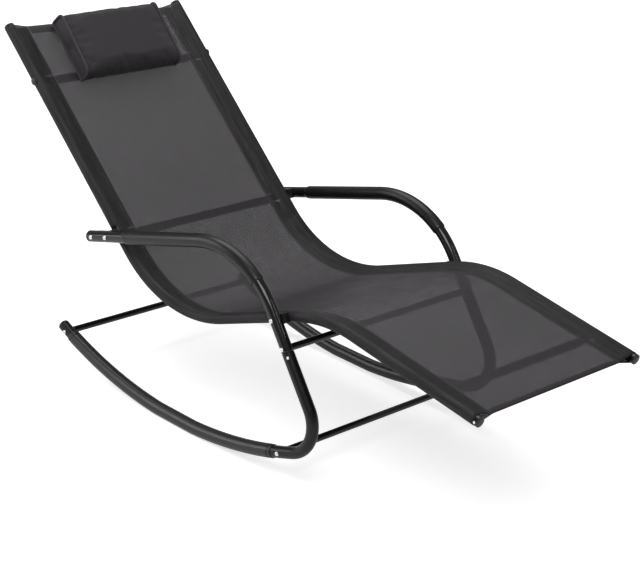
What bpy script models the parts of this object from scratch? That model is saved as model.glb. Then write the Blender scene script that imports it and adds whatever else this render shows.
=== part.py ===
"""Outdoor rocking chair: a mesh sling on bent steel rails, carried by two tubular rocker frames.

Metres, +Z up. The foot end points to -Y, the sitter's left is +X and the floor is Z = 0.
The chair stands as it settles when empty, with its weight over the low point of the rockers.
"""

import math

import bmesh
import bpy
from mathutils import Matrix, Vector

# Driving sizes of the whole chair
RAIL_SPACING = 0.542
FRAME_SPACING = 0.611
REST_LEAN = math.radians(16.6)

# Side profile of the sling rails, with angles measured from the line of the armrest
BACK_LENGTH = 0.648
BACK_ANGLE = math.radians(57.8)
LUMBAR_RADIUS = 0.317
SEAT_RISE = math.radians(4.4)
SEAT_LENGTH = 0.241
KNEE_RADIUS = 0.344
FOOT_FALL = math.radians(25.7)
FOOT_LENGTH = 0.363

# Side profile of the rocker frames
ARM_LENGTH = 0.383
ARM_BEND_RADIUS = 0.228
LEG_ANGLE = math.radians(70.0)
LEG_LENGTH = 0.230
TOE_RADIUS = 0.079
ROCKER_RADIUS = 1.080
ROCKER_FRONT_ANGLE = math.radians(20.6)
ROCKER_REAR_ANGLE = math.radians(22.9)
ROCKER_FLAT = 0.120

# Tube sections, as half the size across their flats
TUBE_SIDES = 12
RAIL_RADIUS = 0.0125
FRAME_RADIUS = 0.014
GRIP_RADIUS = 0.0165
SLEEVE_WALL = 0.002
TUBE_WALL = 0.0012
SLING_BAR_RADIUS = 0.010
CROSSBAR_RADIUS = 0.008

# Places along the tubes
UPPER_BAR_FROM_TOP = 0.160
FOOT_BAR_FROM_END = 0.121
SEAT_BOLT_BEFORE_KNEE = 0.022
LEG_BOLT_DROP = 0.022
LEG_BAR_DROP = 0.089
LEG_JOINT_DROP = 0.098
SNAP_DROP = 0.110
NECK_LENGTH = 0.055
ARM_REAR_BOLT_FROM_END = 0.0165
GRIP_AHEAD_OF_ARM_BOLT = 0.0615
GRIP_LENGTH = 0.460
TOE_BAR_FROM_FRONT = 0.036
SLEEVE_FROM_FRONT = 0.060
REAR_BAR_FROM_END = 0.021
SLEEVE_FROM_END = 0.038
RAIL_NECK_BELOW_BOLT = 0.026

# Fasteners and small pieces
SHANK_RADIUS = 0.003
HEAD_RADIUS = 0.00525
HEAD_HEIGHT = 0.0033
CAP_RADIUS = 0.010
CAP_HEIGHT = 0.0045
PIN_CHAMFER = 0.0005
SOCKET_RADIUS = 0.002
SOCKET_DEPTH = 0.0018
THREAD_DEPTH = 0.014
BAR_END_LENGTH = 0.018
SLING_BAR_STRAIGHT = 0.008
NUT_RADIUS = 0.005
NUT_HEIGHT = 0.005
SNAP_RADIUS = 0.0035
SNAP_PROUD = 0.0028
SNAP_FLANGE_RADIUS = 0.0048
SNAP_FLANGE = 0.0012
SNAP_TURN = math.radians(30.0)
SPRING_WIDTH = 0.006
SPRING_THICKNESS = 0.0006
SPRING_BEND = 0.004
SPRING_REACH = 0.012
SPRING_TOE = 0.007
PLUG_SPIGOT = 0.015
PLUG_FLANGE = 0.002
PLUG_DOME = 0.003
FRAME_PLUG_DOME = 0.007
SCREW_RADIUS = 0.0015
SCREW_HEAD_RADIUS = 0.003
SCREW_FROM_END = 0.0038

# Brackets between the rails and the frames
BRACKET_LENGTH = 0.034
BRACKET_HEIGHT = 0.024
TONGUE_HEIGHT = 0.022
TONGUE_THICKNESS = 0.004
TONGUE_PAST_BOLT = 0.0075
SPACER_LENGTH = 0.030
SPACER_HEIGHT = 0.022
SADDLE_DEPTH = 0.006

# Sling and pillow
SLING_THICKNESS = 0.001
SLING_SEAM = 0.050
SLING_BARE_HEAD = 0.003
SLING_BARE_FOOT = 0.0075
NOTCH_MARGIN = 0.006
PILLOW_WIDTH = 0.340
PILLOW_HEIGHT = 0.180
PILLOW_THICKNESS = 0.062
PILLOW_EDGE = 0.044
PILLOW_FROM_TOP = 0.101
FLAP_WIDTH = 0.250
FLAP_DROP = 0.100
FLAP_RISE = 0.006
FLAP_THICKNESS = 0.001

# Clearances
GAP = 0.0003
HOLE_CLEARANCE = 0.0003
CUT_MARGIN = 0.001

SIDES = (("right", -1.0), ("left", 1.0))
FACET = math.pi / TUBE_SIDES
POINTED = 1.0 / math.cos(FACET)

ROCKER_STEPS = 6
TOE_STEPS = 8
ARM_STEPS = 7
LUMBAR_STEPS = 8
KNEE_STEPS = 5


# Side profile helpers: a profile is a list of (y, z) points with its own running length

def ahead(point, heading, length):
    """Point reached by going a length in a heading."""
    return (point[0] + math.cos(heading) * length, point[1] + math.sin(heading) * length)


def arc(start, heading, radius, turn, steps):
    """Points after the start of an arc that turns left when the turn is positive."""
    side = 1.0 if turn > 0.0 else -1.0
    centre = ahead(start, heading + side * math.pi / 2, radius)
    points = []
    for step in range(1, steps + 1):
        direction = heading + turn * step / steps
        points.append(ahead(centre, direction - side * math.pi / 2, radius))
    return points


def lengths(profile):
    """Running length at each point of a profile."""
    running = [0.0]
    for before, after in zip(profile, profile[1:]):
        running.append(running[-1] + math.dist(before, after))
    return running


def place(profile, distance):
    """Point and heading at a distance along a profile."""
    running = lengths(profile)
    last = len(profile) - 2
    index = next((i for i in range(last) if running[i + 1] > distance), last)
    before, after = profile[index], profile[index + 1]
    heading = math.atan2(after[1] - before[1], after[0] - before[0])
    return ahead(before, heading, distance - running[index]), heading


def stretch(profile, start, end):
    """The piece of a profile between two distances."""
    running = lengths(profile)
    inner = [point for point, at in zip(profile, running) if start + 1e-6 < at < end - 1e-6]
    return [place(profile, start)[0], *inner, place(profile, end)[0]]


def crossing(point_a, heading_a, point_b, heading_b):
    """Where two straight lines cross."""
    offset = (point_b[0] - point_a[0], point_b[1] - point_a[1])
    turn = math.sin(heading_b - heading_a)
    along = (offset[0] * math.sin(heading_b) - offset[1] * math.cos(heading_b)) / turn
    return ahead(point_a, heading_a, along)


def rocker_profile():
    """Rocker from its rear end to its front end, with one flat step at the low point."""
    height = (FRAME_RADIUS + GAP + SLEEVE_WALL)
    flat_angle = ROCKER_FLAT / ROCKER_RADIUS / 2
    centre = (0.0, height + ROCKER_RADIUS * math.cos(flat_angle))

    def on_arc(angle):
        return ahead(centre, angle - math.pi / 2, ROCKER_RADIUS)

    rear = [flat_angle + (ROCKER_REAR_ANGLE - flat_angle) * i / ROCKER_STEPS for i in range(ROCKER_STEPS + 1)]
    front = [flat_angle + (ROCKER_FRONT_ANGLE - flat_angle) * i / ROCKER_STEPS for i in range(ROCKER_STEPS + 1)]
    return [on_arc(angle) for angle in reversed(rear)] + [on_arc(-angle) for angle in front]


def frame_profile():
    """Rocker, toe bend, front leg and armrest as one line, from the rocker's rear end to the arm's end."""
    profile = rocker_profile()
    heading = math.pi - ROCKER_FRONT_ANGLE
    leg_heading = LEG_ANGLE - REST_LEAN
    profile += arc(profile[-1], heading, TOE_RADIUS, leg_heading - heading, TOE_STEPS)
    profile.append(ahead(profile[-1], leg_heading, LEG_LENGTH))
    profile += arc(profile[-1], leg_heading, ARM_BEND_RADIUS, -LEG_ANGLE, ARM_STEPS)
    profile.append(ahead(profile[-1], -REST_LEAN, ARM_LENGTH))
    return profile


def rail_profile(seat_bolt):
    """Sling rail from the head end to the foot end, placed by its bolt on the leg."""
    back_heading = math.pi + BACK_ANGLE - REST_LEAN
    seat_heading = math.pi - SEAT_RISE - REST_LEAN
    foot_heading = math.pi + FOOT_FALL - REST_LEAN
    profile = [(0.0, 0.0), ahead((0.0, 0.0), back_heading, BACK_LENGTH)]
    profile += arc(profile[-1], back_heading, LUMBAR_RADIUS, seat_heading - back_heading, LUMBAR_STEPS)
    profile.append(ahead(profile[-1], seat_heading, SEAT_LENGTH))
    knee = profile[-1]
    profile += arc(knee, seat_heading, KNEE_RADIUS, foot_heading - seat_heading, KNEE_STEPS)
    profile.append(ahead(profile[-1], foot_heading, FOOT_LENGTH))
    bolt = ahead(knee, seat_heading, -SEAT_BOLT_BEFORE_KNEE)
    shift = (seat_bolt[0] - bolt[0], seat_bolt[1] - bolt[1])
    return [(y + shift[0], z + shift[1]) for y, z in profile]


FRAME = frame_profile()
FRAME_TOTAL = lengths(FRAME)[-1]
ROCKER_LENGTH = lengths(rocker_profile())[-1]
LEG_TOP = FRAME_TOTAL - ARM_LENGTH - lengths(FRAME[-ARM_STEPS - 2:-1])[-1]
LEG_BOLT, LEG_HEADING = place(FRAME, LEG_TOP - LEG_BOLT_DROP)
RAIL = rail_profile(LEG_BOLT)
RAIL_TOTAL = lengths(RAIL)[-1]
ARM_BOLT = crossing(FRAME[-1], -REST_LEAN, RAIL[0], math.pi + BACK_ANGLE - REST_LEAN)
ARM_BOLT_ON_RAIL = math.dist(RAIL[0], ARM_BOLT)
ARM_BOLT_ON_FRAME = FRAME_TOTAL - math.dist(FRAME[-1], ARM_BOLT)
RAIL_SPLIT = ARM_BOLT_ON_RAIL + RAIL_NECK_BELOW_BOLT

UPPER_BAR = place(RAIL, UPPER_BAR_FROM_TOP)[0]
FOOT_BAR = place(RAIL, RAIL_TOTAL - FOOT_BAR_FROM_END)[0]
LEG_BAR = place(FRAME, LEG_TOP - LEG_BAR_DROP)[0]
TOE_BAR = place(FRAME, ROCKER_LENGTH - TOE_BAR_FROM_FRONT)[0]
REAR_BAR = place(FRAME, REAR_BAR_FROM_END)[0]
ARM_REAR_BOLT = place(FRAME, FRAME_TOTAL - ARM_REAR_BOLT_FROM_END)[0]
SNAP_POINT = place(FRAME, LEG_TOP - SNAP_DROP)[0]
FOOT_SCREW = place(RAIL, RAIL_TOTAL - SCREW_FROM_END)[0]

RAIL_X = RAIL_SPACING / 2
FRAME_X = FRAME_SPACING / 2


# Scene set-up

for old in list(bpy.data.objects):
    bpy.data.objects.remove(old, do_unlink=True)

parts = bpy.data.collections.new("outdoor_rocking_chair")
cutters = bpy.data.collections.new("cutters")
bpy.context.scene.collection.children.link(parts)
bpy.context.scene.collection.children.link(cutters)

root = bpy.data.objects.new("chair_root", None)
parts.objects.link(root)


def material(name, colour, roughness, metallic):
    """Plain surface for one kind of piece."""
    surface = bpy.data.materials.new(name)
    surface.use_nodes = True
    shader = surface.node_tree.nodes["Principled BSDF"]
    shader.inputs["Base Color"].default_value = (*colour, 1.0)
    shader.inputs["Roughness"].default_value = roughness
    shader.inputs["Metallic"].default_value = metallic
    return surface


BLACK_STEEL = ((0.012, 0.012, 0.013), 0.32, 0.3)
BLACK_PLASTIC = ((0.014, 0.014, 0.015), 0.5, 0.0)
FOAM = ((0.022, 0.022, 0.023), 0.7, 0.0)
MESH = ((0.030, 0.029, 0.031), 0.75, 0.0)
ZINC = ((0.72, 0.73, 0.74), 0.28, 1.0)


# Mesh helpers

def mesh_object(name, mesh, collection=parts):
    """New object under the chair's root."""
    item = bpy.data.objects.new(name, mesh)
    collection.objects.link(item)
    item.parent = root
    if collection is cutters:
        item.hide_render = True
        item.display_type = "WIRE"
    return item


def finish(item, look):
    """Material and smooth shading of a finished piece."""
    colour, roughness, metallic = look
    item.data.materials.clear()
    item.data.materials.append(material(item.name, colour, roughness, metallic))
    item.data.shade_smooth()
    item.data.set_sharp_from_angle(angle=math.radians(35.0))
    return item


def evaluated_mesh(item):
    """Mesh of an object with its modifiers."""
    return bpy.data.meshes.new_from_object(item.evaluated_get(bpy.context.evaluated_depsgraph_get()))


def weld(mesh):
    """Join doubled points and turn the faces outward."""
    work = bmesh.new()
    work.from_mesh(mesh)
    bmesh.ops.remove_doubles(work, verts=work.verts, dist=0.00001)
    bmesh.ops.recalc_face_normals(work, faces=work.faces)
    work.to_mesh(mesh)
    work.free()
    return mesh


def swept_mesh(points, radius, caps, swell=None):
    """Mesh of a round bar along points, with flats that face sideways."""
    curve = bpy.data.curves.new("path", "CURVE")
    curve.dimensions = "3D"
    curve.twist_mode = "MINIMUM"
    curve.bevel_depth = radius * POINTED
    curve.bevel_resolution = TUBE_SIDES // 2 - 2
    curve.use_fill_caps = caps
    spline = curve.splines.new("POLY")
    spline.points.add(len(points) - 1)
    for index, (knot, point) in enumerate(zip(spline.points, points)):
        knot.co = (*point, 1.0)
        knot.tilt = FACET
        knot.radius = swell[index] if swell else 1.0
    carrier = bpy.data.objects.new("path", curve)
    bpy.context.scene.collection.objects.link(carrier)
    bpy.context.view_layer.update()
    mesh = weld(evaluated_mesh(carrier))
    bpy.data.objects.remove(carrier, do_unlink=True)
    bpy.data.curves.remove(curve)
    return mesh


def in_plane(profile, x):
    """Profile points placed in the side plane at x."""
    return [Vector((x, y, z)) for y, z in profile]


def tube(name, points, radius, wall, look, swell=None):
    """Hollow tube along points."""
    item = mesh_object(name, swept_mesh(points, radius, False, swell))
    shell = item.modifiers.new("wall", "SOLIDIFY")
    shell.thickness = wall
    shell.offset = -1.0
    shell.use_even_offset = True
    return finish(item, look)


def cutter_bar(name, points, radius):
    """Solid bar along points that other pieces are cut with."""
    return mesh_object(name, swept_mesh(points, radius, True), cutters)


def across(name, point, radius, start_x, end_x, sides=TUBE_SIDES, collection=cutters):
    """Solid round bar along X through a side-plane point."""
    work = bmesh.new()
    turned = Matrix.Rotation(math.pi / sides, 4, "Z")
    bmesh.ops.create_cone(work, cap_ends=True, segments=sides, radius1=radius / math.cos(math.pi / sides),
                          radius2=radius / math.cos(math.pi / sides), depth=end_x - start_x, matrix=turned)
    bmesh.ops.rotate(work, verts=work.verts, matrix=Matrix.Rotation(math.pi / 2, 3, "Y"))
    bmesh.ops.translate(work, verts=work.verts, vec=((start_x + end_x) / 2, *point))
    mesh = bpy.data.meshes.new(name)
    work.to_mesh(mesh)
    work.free()
    return mesh_object(name, mesh, collection)


def block(name, point, heading, size, x, collection=cutters):
    """Box with its length along a heading in the side plane."""
    work = bmesh.new()
    bmesh.ops.create_cube(work, size=1.0)
    bmesh.ops.scale(work, verts=work.verts, vec=size)
    bmesh.ops.rotate(work, verts=work.verts, matrix=Matrix.Rotation(heading, 3, "X"))
    bmesh.ops.translate(work, verts=work.verts, vec=(x, *point))
    mesh = bpy.data.meshes.new(name)
    work.to_mesh(mesh)
    work.free()
    return mesh_object(name, mesh, collection)


def cut(item, *tools):
    """Take the cutters away from a piece."""
    for tool in tools:
        step = item.modifiers.new(tool.name, "BOOLEAN")
        step.operation = "DIFFERENCE"
        step.object = tool


def turned_mesh(profile, steps=TUBE_SIDES):
    """Mesh turned about Z from (radius, height) points that run from top to bottom."""
    mesh = bpy.data.meshes.new("turned")
    edges = [(i, i + 1) for i in range(len(profile) - 1)]
    mesh.from_pydata([(radius, 0.0, height) for radius, height in profile], edges, [])
    carrier = bpy.data.objects.new("turned", mesh)
    bpy.context.scene.collection.objects.link(carrier)
    screw = carrier.modifiers.new("turn", "SCREW")
    screw.steps = steps
    screw.render_steps = steps
    screw.use_merge_vertices = True
    screw.merge_threshold = 0.00001
    bpy.context.view_layer.update()
    result = weld(evaluated_mesh(carrier))
    bpy.data.objects.remove(carrier, do_unlink=True)
    return result


def stand(name, mesh, point, outward, look):
    """Piece turned about Z, set with its Z along an outward direction."""
    item = mesh_object(name, mesh)
    item.location = point
    item.rotation_mode = "QUATERNION"
    item.rotation_quaternion = Vector((0.0, 0.0, 1.0)).rotation_difference(outward)
    return finish(item, look)


# Cutters shared by the pieces: tube clearances and bolt holes

rail_room = {side: cutter_bar(side + "_rail_room", in_plane(RAIL, x * RAIL_X), RAIL_RADIUS + GAP)
             for side, x in SIDES}
frame_room = {side: cutter_bar(side + "_frame_room", in_plane(FRAME, x * FRAME_X), FRAME_RADIUS + GAP)
              for side, x in SIDES}
HOLE_REACH = FRAME_X + FRAME_RADIUS * 2


def bolt_hole(name, point):
    """Clearance hole for a bolt, through both sides of the chair."""
    return across(name + "_hole", point, SHANK_RADIUS + HOLE_CLEARANCE, -HOLE_REACH, HOLE_REACH, 8)


upper_hole = bolt_hole("upper_bar", UPPER_BAR)
arm_hole = bolt_hole("arm_bolt", ARM_BOLT)
arm_rear_hole = bolt_hole("arm_rear_bolt", ARM_REAR_BOLT)
seat_hole = bolt_hole("seat_bolt", LEG_BOLT)
foot_hole = bolt_hole("foot_bar", FOOT_BAR)
leg_hole = bolt_hole("leg_bar", LEG_BAR)
toe_hole = bolt_hole("toe_bar", TOE_BAR)
rear_hole = bolt_hole("rear_bar", REAR_BAR)


# Sling rails: a head piece, and a seat piece whose drawn-in neck slides up into it

RAIL_NECK = (RAIL_RADIUS - TUBE_WALL - GAP) / RAIL_RADIUS
RAIL_NECK_LENGTH = RAIL_NECK_BELOW_BOLT * 2
SWAGE = 0.003


def rails(side, x):
    """Head and seat pieces of one sling rail."""
    head = tube(side + "_back_rail", in_plane(stretch(RAIL, 0.0, RAIL_SPLIT), x * RAIL_X),
                RAIL_RADIUS, TUBE_WALL, BLACK_STEEL)
    cut(head, upper_hole, arm_hole)
    seat_start = RAIL_SPLIT + GAP
    line = stretch(RAIL, seat_start, RAIL_TOTAL)
    neck = [place(RAIL, seat_start - RAIL_NECK_LENGTH)[0], place(RAIL, seat_start)[0]]
    shoulder = place(RAIL, seat_start + SWAGE)[0]
    points = in_plane(neck + [shoulder] + line[1:], x * RAIL_X)
    swell = [RAIL_NECK, RAIL_NECK] + [1.0] * (len(points) - 2)
    seat = tube(side + "_seat_rail", points, RAIL_RADIUS, TUBE_WALL, BLACK_STEEL, swell)
    cut(seat, arm_hole, seat_hole, foot_hole, screw_hole)


# Rocker frames: the arm tube's neck slides down into the tube that forms the leg and the rocker

FRAME_NECK = (FRAME_RADIUS - TUBE_WALL - GAP) / FRAME_RADIUS
JOINT = LEG_TOP - LEG_JOINT_DROP


def frames(side, x):
    """Arm tube and rocker tube of one side."""
    low = stretch(FRAME, 0.0, JOINT)
    rocker = tube(side + "_rocker_tube", in_plane(low, x * FRAME_X), FRAME_RADIUS, TUBE_WALL, BLACK_STEEL)
    cut(rocker, rear_hole, toe_hole, snap_holes[side])
    joint = JOINT + GAP
    high = stretch(FRAME, joint + SWAGE, FRAME_TOTAL)
    neck = [place(FRAME, joint - NECK_LENGTH)[0], place(FRAME, joint)[0]]
    points = in_plane(neck + high, x * FRAME_X)
    swell = [FRAME_NECK, FRAME_NECK] + [1.0] * len(high)
    arm = tube(side + "_arm_tube", points, FRAME_RADIUS, TUBE_WALL, BLACK_STEEL, swell)
    cut(arm, arm_hole, arm_rear_hole, seat_hole, leg_hole, snap_holes[side])


def rocker_sleeve(side, x):
    """Plastic tread over the rocker's arc."""
    line = stretch(FRAME, SLEEVE_FROM_END, ROCKER_LENGTH - SLEEVE_FROM_FRONT)
    tube(side + "_rocker_sleeve", in_plane(line, x * FRAME_X), FRAME_RADIUS + GAP + SLEEVE_WALL,
         SLEEVE_WALL, BLACK_PLASTIC)


def arm_grip(side, x):
    """Foam grip over the armrest and the start of the leg, with tapered ends."""
    end = ARM_BOLT_ON_FRAME - GRIP_AHEAD_OF_ARM_BOLT
    start = end - GRIP_LENGTH
    taper = GRIP_RADIUS - FRAME_RADIUS
    thin = (FRAME_RADIUS + GAP + taper / 4) / GRIP_RADIUS
    line = stretch(FRAME, start + taper * 2, end - taper * 2)
    points = in_plane([place(FRAME, start)[0], *line, place(FRAME, end)[0]], x * FRAME_X)
    swell = [thin] + [1.0] * len(line) + [thin]
    item = mesh_object(side + "_arm_grip", swept_mesh(points, GRIP_RADIUS, True, swell))
    cut(item, frame_room[side])
    finish(item, FOAM)


# Bars across the chair, with hollow middles and ends shaped to the tubes they meet

def crossbar(name, point, hole):
    """Straight bar between the frames with a threaded end at each side."""
    item = across(name, point, CROSSBAR_RADIUS, -FRAME_X, FRAME_X, TUBE_SIDES, parts)
    hollow = FRAME_X - BAR_END_LENGTH - FRAME_RADIUS
    bore = across(name + "_bore", point, CROSSBAR_RADIUS - TUBE_WALL, -hollow, hollow)
    cut(item, bore, hole, *frame_room.values())
    finish(item, BLACK_STEEL)


SLING_BAR_DROP = SLING_BAR_RADIUS + SLING_THICKNESS / 2 + GAP * 3


def sling_bar(name, point, distance):
    """Bar behind the sling: its ends bolt to the rails and its middle is set down to clear the sheet."""
    heading = place(RAIL, distance)[1]
    fall = SLING_BAR_DROP / (SLING_SEAM - SLING_BAR_STRAIGHT)
    solid = RAIL_RADIUS + BAR_END_LENGTH

    def at(inset, drop, x):
        return Vector((x * (RAIL_X - inset), *ahead(point, heading + math.pi / 2, drop)))

    ends = [(0.0, 0.0), (SLING_BAR_STRAIGHT, 0.0), (SLING_SEAM, SLING_BAR_DROP)]
    inner = [(solid, (solid - SLING_BAR_STRAIGHT) * fall), ends[-1]]
    line = [at(*end, -1.0) for end in ends] + [at(*end, 1.0) for end in reversed(ends)]
    core = [at(*end, -1.0) for end in inner] + [at(*end, 1.0) for end in reversed(inner)]
    item = mesh_object(name, swept_mesh(line, SLING_BAR_RADIUS, True))
    cut(item, cutter_bar(name + "_bore", core, SLING_BAR_RADIUS - TUBE_WALL), *rail_room.values())
    for side, x in SIDES:
        thread = across(side + "_" + name + "_thread", point, SHANK_RADIUS + HOLE_CLEARANCE,
                        *sorted((x * RAIL_X, x * (RAIL_X - solid - SHANK_RADIUS))), 8)
        cut(item, thread)
    finish(item, BLACK_STEEL)


# Brackets and spacers between the rails and the frames

def saddle_x():
    """Side reach of the blocks that sit between a rail and a frame tube."""
    inner = RAIL_X + RAIL_RADIUS - SADDLE_DEPTH
    outer = FRAME_X - FRAME_RADIUS + SADDLE_DEPTH
    return (inner + outer) / 2, outer - inner


def arm_bracket(side, x):
    """Saddle on the back rail, with a tongue that runs back along the armrest to its second bolt."""
    middle, width = saddle_x()
    item = block(side + "_arm_bracket", ARM_BOLT, -REST_LEAN, (width, BRACKET_LENGTH, BRACKET_HEIGHT),
                 x * middle, parts)
    tongue_end = math.dist(ARM_BOLT, ARM_REAR_BOLT) + TONGUE_PAST_BOLT
    tongue_width = TONGUE_THICKNESS + SADDLE_DEPTH
    tongue = block(side + "_tongue", ahead(ARM_BOLT, -REST_LEAN, tongue_end / 2), -REST_LEAN,
                   (tongue_width, tongue_end, TONGUE_HEIGHT),
                   x * (FRAME_X - FRAME_RADIUS - TONGUE_THICKNESS + tongue_width / 2))
    join = item.modifiers.new("tongue", "BOOLEAN")
    join.operation = "UNION"
    join.object = tongue
    nut_face = FRAME_X - FRAME_RADIUS - TONGUE_THICKNESS - GAP / 2
    nut_room = across(side + "_arm_nut_room", ARM_REAR_BOLT, NUT_RADIUS + HOLE_CLEARANCE,
                      *sorted((x * nut_face, x * (middle - width))), 6)
    cut(item, rail_room[side], frame_room[side], arm_hole, arm_rear_hole, nut_room)
    finish(item, BLACK_PLASTIC)


def seat_spacer(side, x):
    """Saddle between the seat rail and the front leg."""
    middle, width = saddle_x()
    item = block(side + "_seat_spacer", LEG_BOLT, math.pi - SEAT_RISE - REST_LEAN,
                 (width, SPACER_LENGTH, SPACER_HEIGHT), x * middle, parts)
    cut(item, rail_room[side], frame_room[side], seat_hole)
    finish(item, BLACK_PLASTIC)


# Fasteners

def bolt_mesh(length):
    """Button-head bolt with a hexagon socket; the seat under its head is at zero."""
    rim = HEAD_HEIGHT * 0.3
    profile = [(0.0, HEAD_HEIGHT), (HEAD_RADIUS * 0.55, HEAD_HEIGHT), (HEAD_RADIUS * 0.86, HEAD_HEIGHT * 0.72),
               (HEAD_RADIUS, rim), (HEAD_RADIUS, 0.0), (SHANK_RADIUS, 0.0), (SHANK_RADIUS, -length), (0.0, -length)]
    carrier = mesh_object("bolt_blank", turned_mesh(profile), cutters)
    work = bmesh.new()
    bmesh.ops.create_cone(work, cap_ends=True, segments=6, radius1=SOCKET_RADIUS, radius2=SOCKET_RADIUS,
                          depth=SOCKET_DEPTH * 2)
    bmesh.ops.translate(work, verts=work.verts, vec=(0.0, 0.0, HEAD_HEIGHT))
    mesh = bpy.data.meshes.new("socket")
    work.to_mesh(mesh)
    work.free()
    socket = mesh_object("socket", mesh, cutters)
    cut(carrier, socket)
    bpy.context.view_layer.update()
    result = weld(evaluated_mesh(carrier))
    bpy.data.objects.remove(carrier, do_unlink=True)
    bpy.data.objects.remove(socket, do_unlink=True)
    return result


def cap_mesh(length):
    """Bolt with a smooth domed black cap."""
    profile = [(0.0, CAP_HEIGHT), (CAP_RADIUS * 0.5, CAP_HEIGHT * 0.9), (CAP_RADIUS * 0.85, CAP_HEIGHT * 0.6),
               (CAP_RADIUS, CAP_HEIGHT * 0.2), (CAP_RADIUS, 0.0), (SHANK_RADIUS, 0.0),
               (SHANK_RADIUS, -length), (0.0, -length)]
    return turned_mesh(profile)


def pin_mesh(length):
    """Plain pin, set flush with the rail so that the sling passes over it."""
    profile = [(0.0, 0.0), (SHANK_RADIUS - PIN_CHAMFER, 0.0), (SHANK_RADIUS, -PIN_CHAMFER),
               (SHANK_RADIUS, -length), (0.0, -length)]
    return turned_mesh(profile)


def outward(x):
    """Direction out of the chair's side."""
    return Vector((x, 0.0, 0.0))


def nut(name, x, start_x, point, hole):
    """Hexagon nut on a bolt, with its outer face at start_x."""
    ends = sorted((x * start_x, x * (start_x - NUT_HEIGHT)))
    item = across(name, point, NUT_RADIUS, ends[0], ends[1], 6, parts)
    cut(item, hole)
    finish(item, ZINC)


def fasteners(side, x):
    """Bolts and nuts of one side of the chair."""
    frame_seat = FRAME_X + FRAME_RADIUS + GAP
    rail_seat = RAIL_X + RAIL_RADIUS + GAP
    into_sling_bar = RAIL_X - RAIL_RADIUS - THREAD_DEPTH
    into_crossbar = FRAME_X - FRAME_RADIUS - THREAD_DEPTH
    tongue_face = FRAME_X - FRAME_RADIUS - TONGUE_THICKNESS - GAP
    rail_face = RAIL_X - RAIL_RADIUS - GAP
    thread_end = SHANK_RADIUS / 3

    def add(name, point, seat_x, end_x, mesh, look=ZINC):
        stand(side + name, mesh(seat_x - end_x), Vector((x * seat_x, *point)), outward(x), look)

    add("_arm_bolt_front", ARM_BOLT, frame_seat, into_sling_bar, bolt_mesh)
    add("_arm_bolt_rear", ARM_REAR_BOLT, frame_seat, tongue_face - NUT_HEIGHT - thread_end, bolt_mesh)
    add("_seat_bolt", LEG_BOLT, frame_seat, rail_face - NUT_HEIGHT - thread_end, bolt_mesh)
    add("_leg_bar_bolt", LEG_BAR, frame_seat, into_crossbar, bolt_mesh)
    add("_toe_bar_bolt", TOE_BAR, frame_seat, into_crossbar, bolt_mesh)
    add("_rear_bar_bolt", REAR_BAR, frame_seat, into_crossbar, bolt_mesh)
    add("_upper_bar_cap", UPPER_BAR, rail_seat, into_sling_bar, cap_mesh, BLACK_PLASTIC)
    add("_foot_bar_pin", FOOT_BAR, RAIL_X + RAIL_RADIUS - TUBE_WALL / 2, into_sling_bar, pin_mesh)
    nut(side + "_arm_nut", x, tongue_face, ARM_REAR_BOLT, arm_rear_hole)
    nut(side + "_seat_nut", x, rail_face, LEG_BOLT, seat_hole)


# Spring buttons that lock the leg joints

def snap_direction(x):
    """Way a spring button points: sideways, turned to the front of the leg."""
    front = Vector((0.0, -math.sin(LEG_HEADING), math.cos(LEG_HEADING)))
    return Vector((x, 0.0, 0.0)) * math.cos(SNAP_TURN) + front * math.sin(SNAP_TURN)


def snap_hole(side, x):
    """Hole through the outer walls for a spring button."""
    mesh = bpy.data.meshes.new(side + "_snap_hole")
    work = bmesh.new()
    radius = (SNAP_RADIUS + HOLE_CLEARANCE) / math.cos(math.pi / 8)
    bmesh.ops.create_cone(work, cap_ends=True, segments=8, radius1=radius, radius2=radius, depth=FRAME_RADIUS)
    work.to_mesh(mesh)
    work.free()
    item = mesh_object(side + "_snap_hole", mesh, cutters)
    way = snap_direction(x)
    item.location = Vector((x * FRAME_X, *SNAP_POINT)) + way * FRAME_RADIUS
    item.rotation_mode = "QUATERNION"
    item.rotation_quaternion = Vector((0.0, 0.0, 1.0)).rotation_difference(way)
    return item


def snap_seat():
    """Height above the leg's axis where a button's flange meets the flats inside the neck."""
    bore = FRAME_RADIUS * FRAME_NECK - TUBE_WALL
    past_flat = SNAP_FLANGE_RADIUS - bore * math.tan(FACET)
    return bore - max(past_flat, 0.0) * math.tan(FACET * 2) - GAP


def snap_button(side, x):
    """Round-nosed button with a flange inside the neck of the arm tube."""
    inner = snap_seat()
    top = FRAME_RADIUS + SNAP_PROUD
    nose = SNAP_PROUD * 0.7
    profile = [(0.0, top), (SNAP_RADIUS * 0.6, top - nose * 0.2), (SNAP_RADIUS * 0.92, top - nose * 0.6),
               (SNAP_RADIUS, top - nose), (SNAP_RADIUS, inner), (SNAP_FLANGE_RADIUS, inner),
               (SNAP_FLANGE_RADIUS, inner - SNAP_FLANGE), (0.0, inner - SNAP_FLANGE)]
    stand(side + "_snap_button", turned_mesh(profile), Vector((x * FRAME_X, *SNAP_POINT)), snap_direction(x), ZINC)


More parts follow.
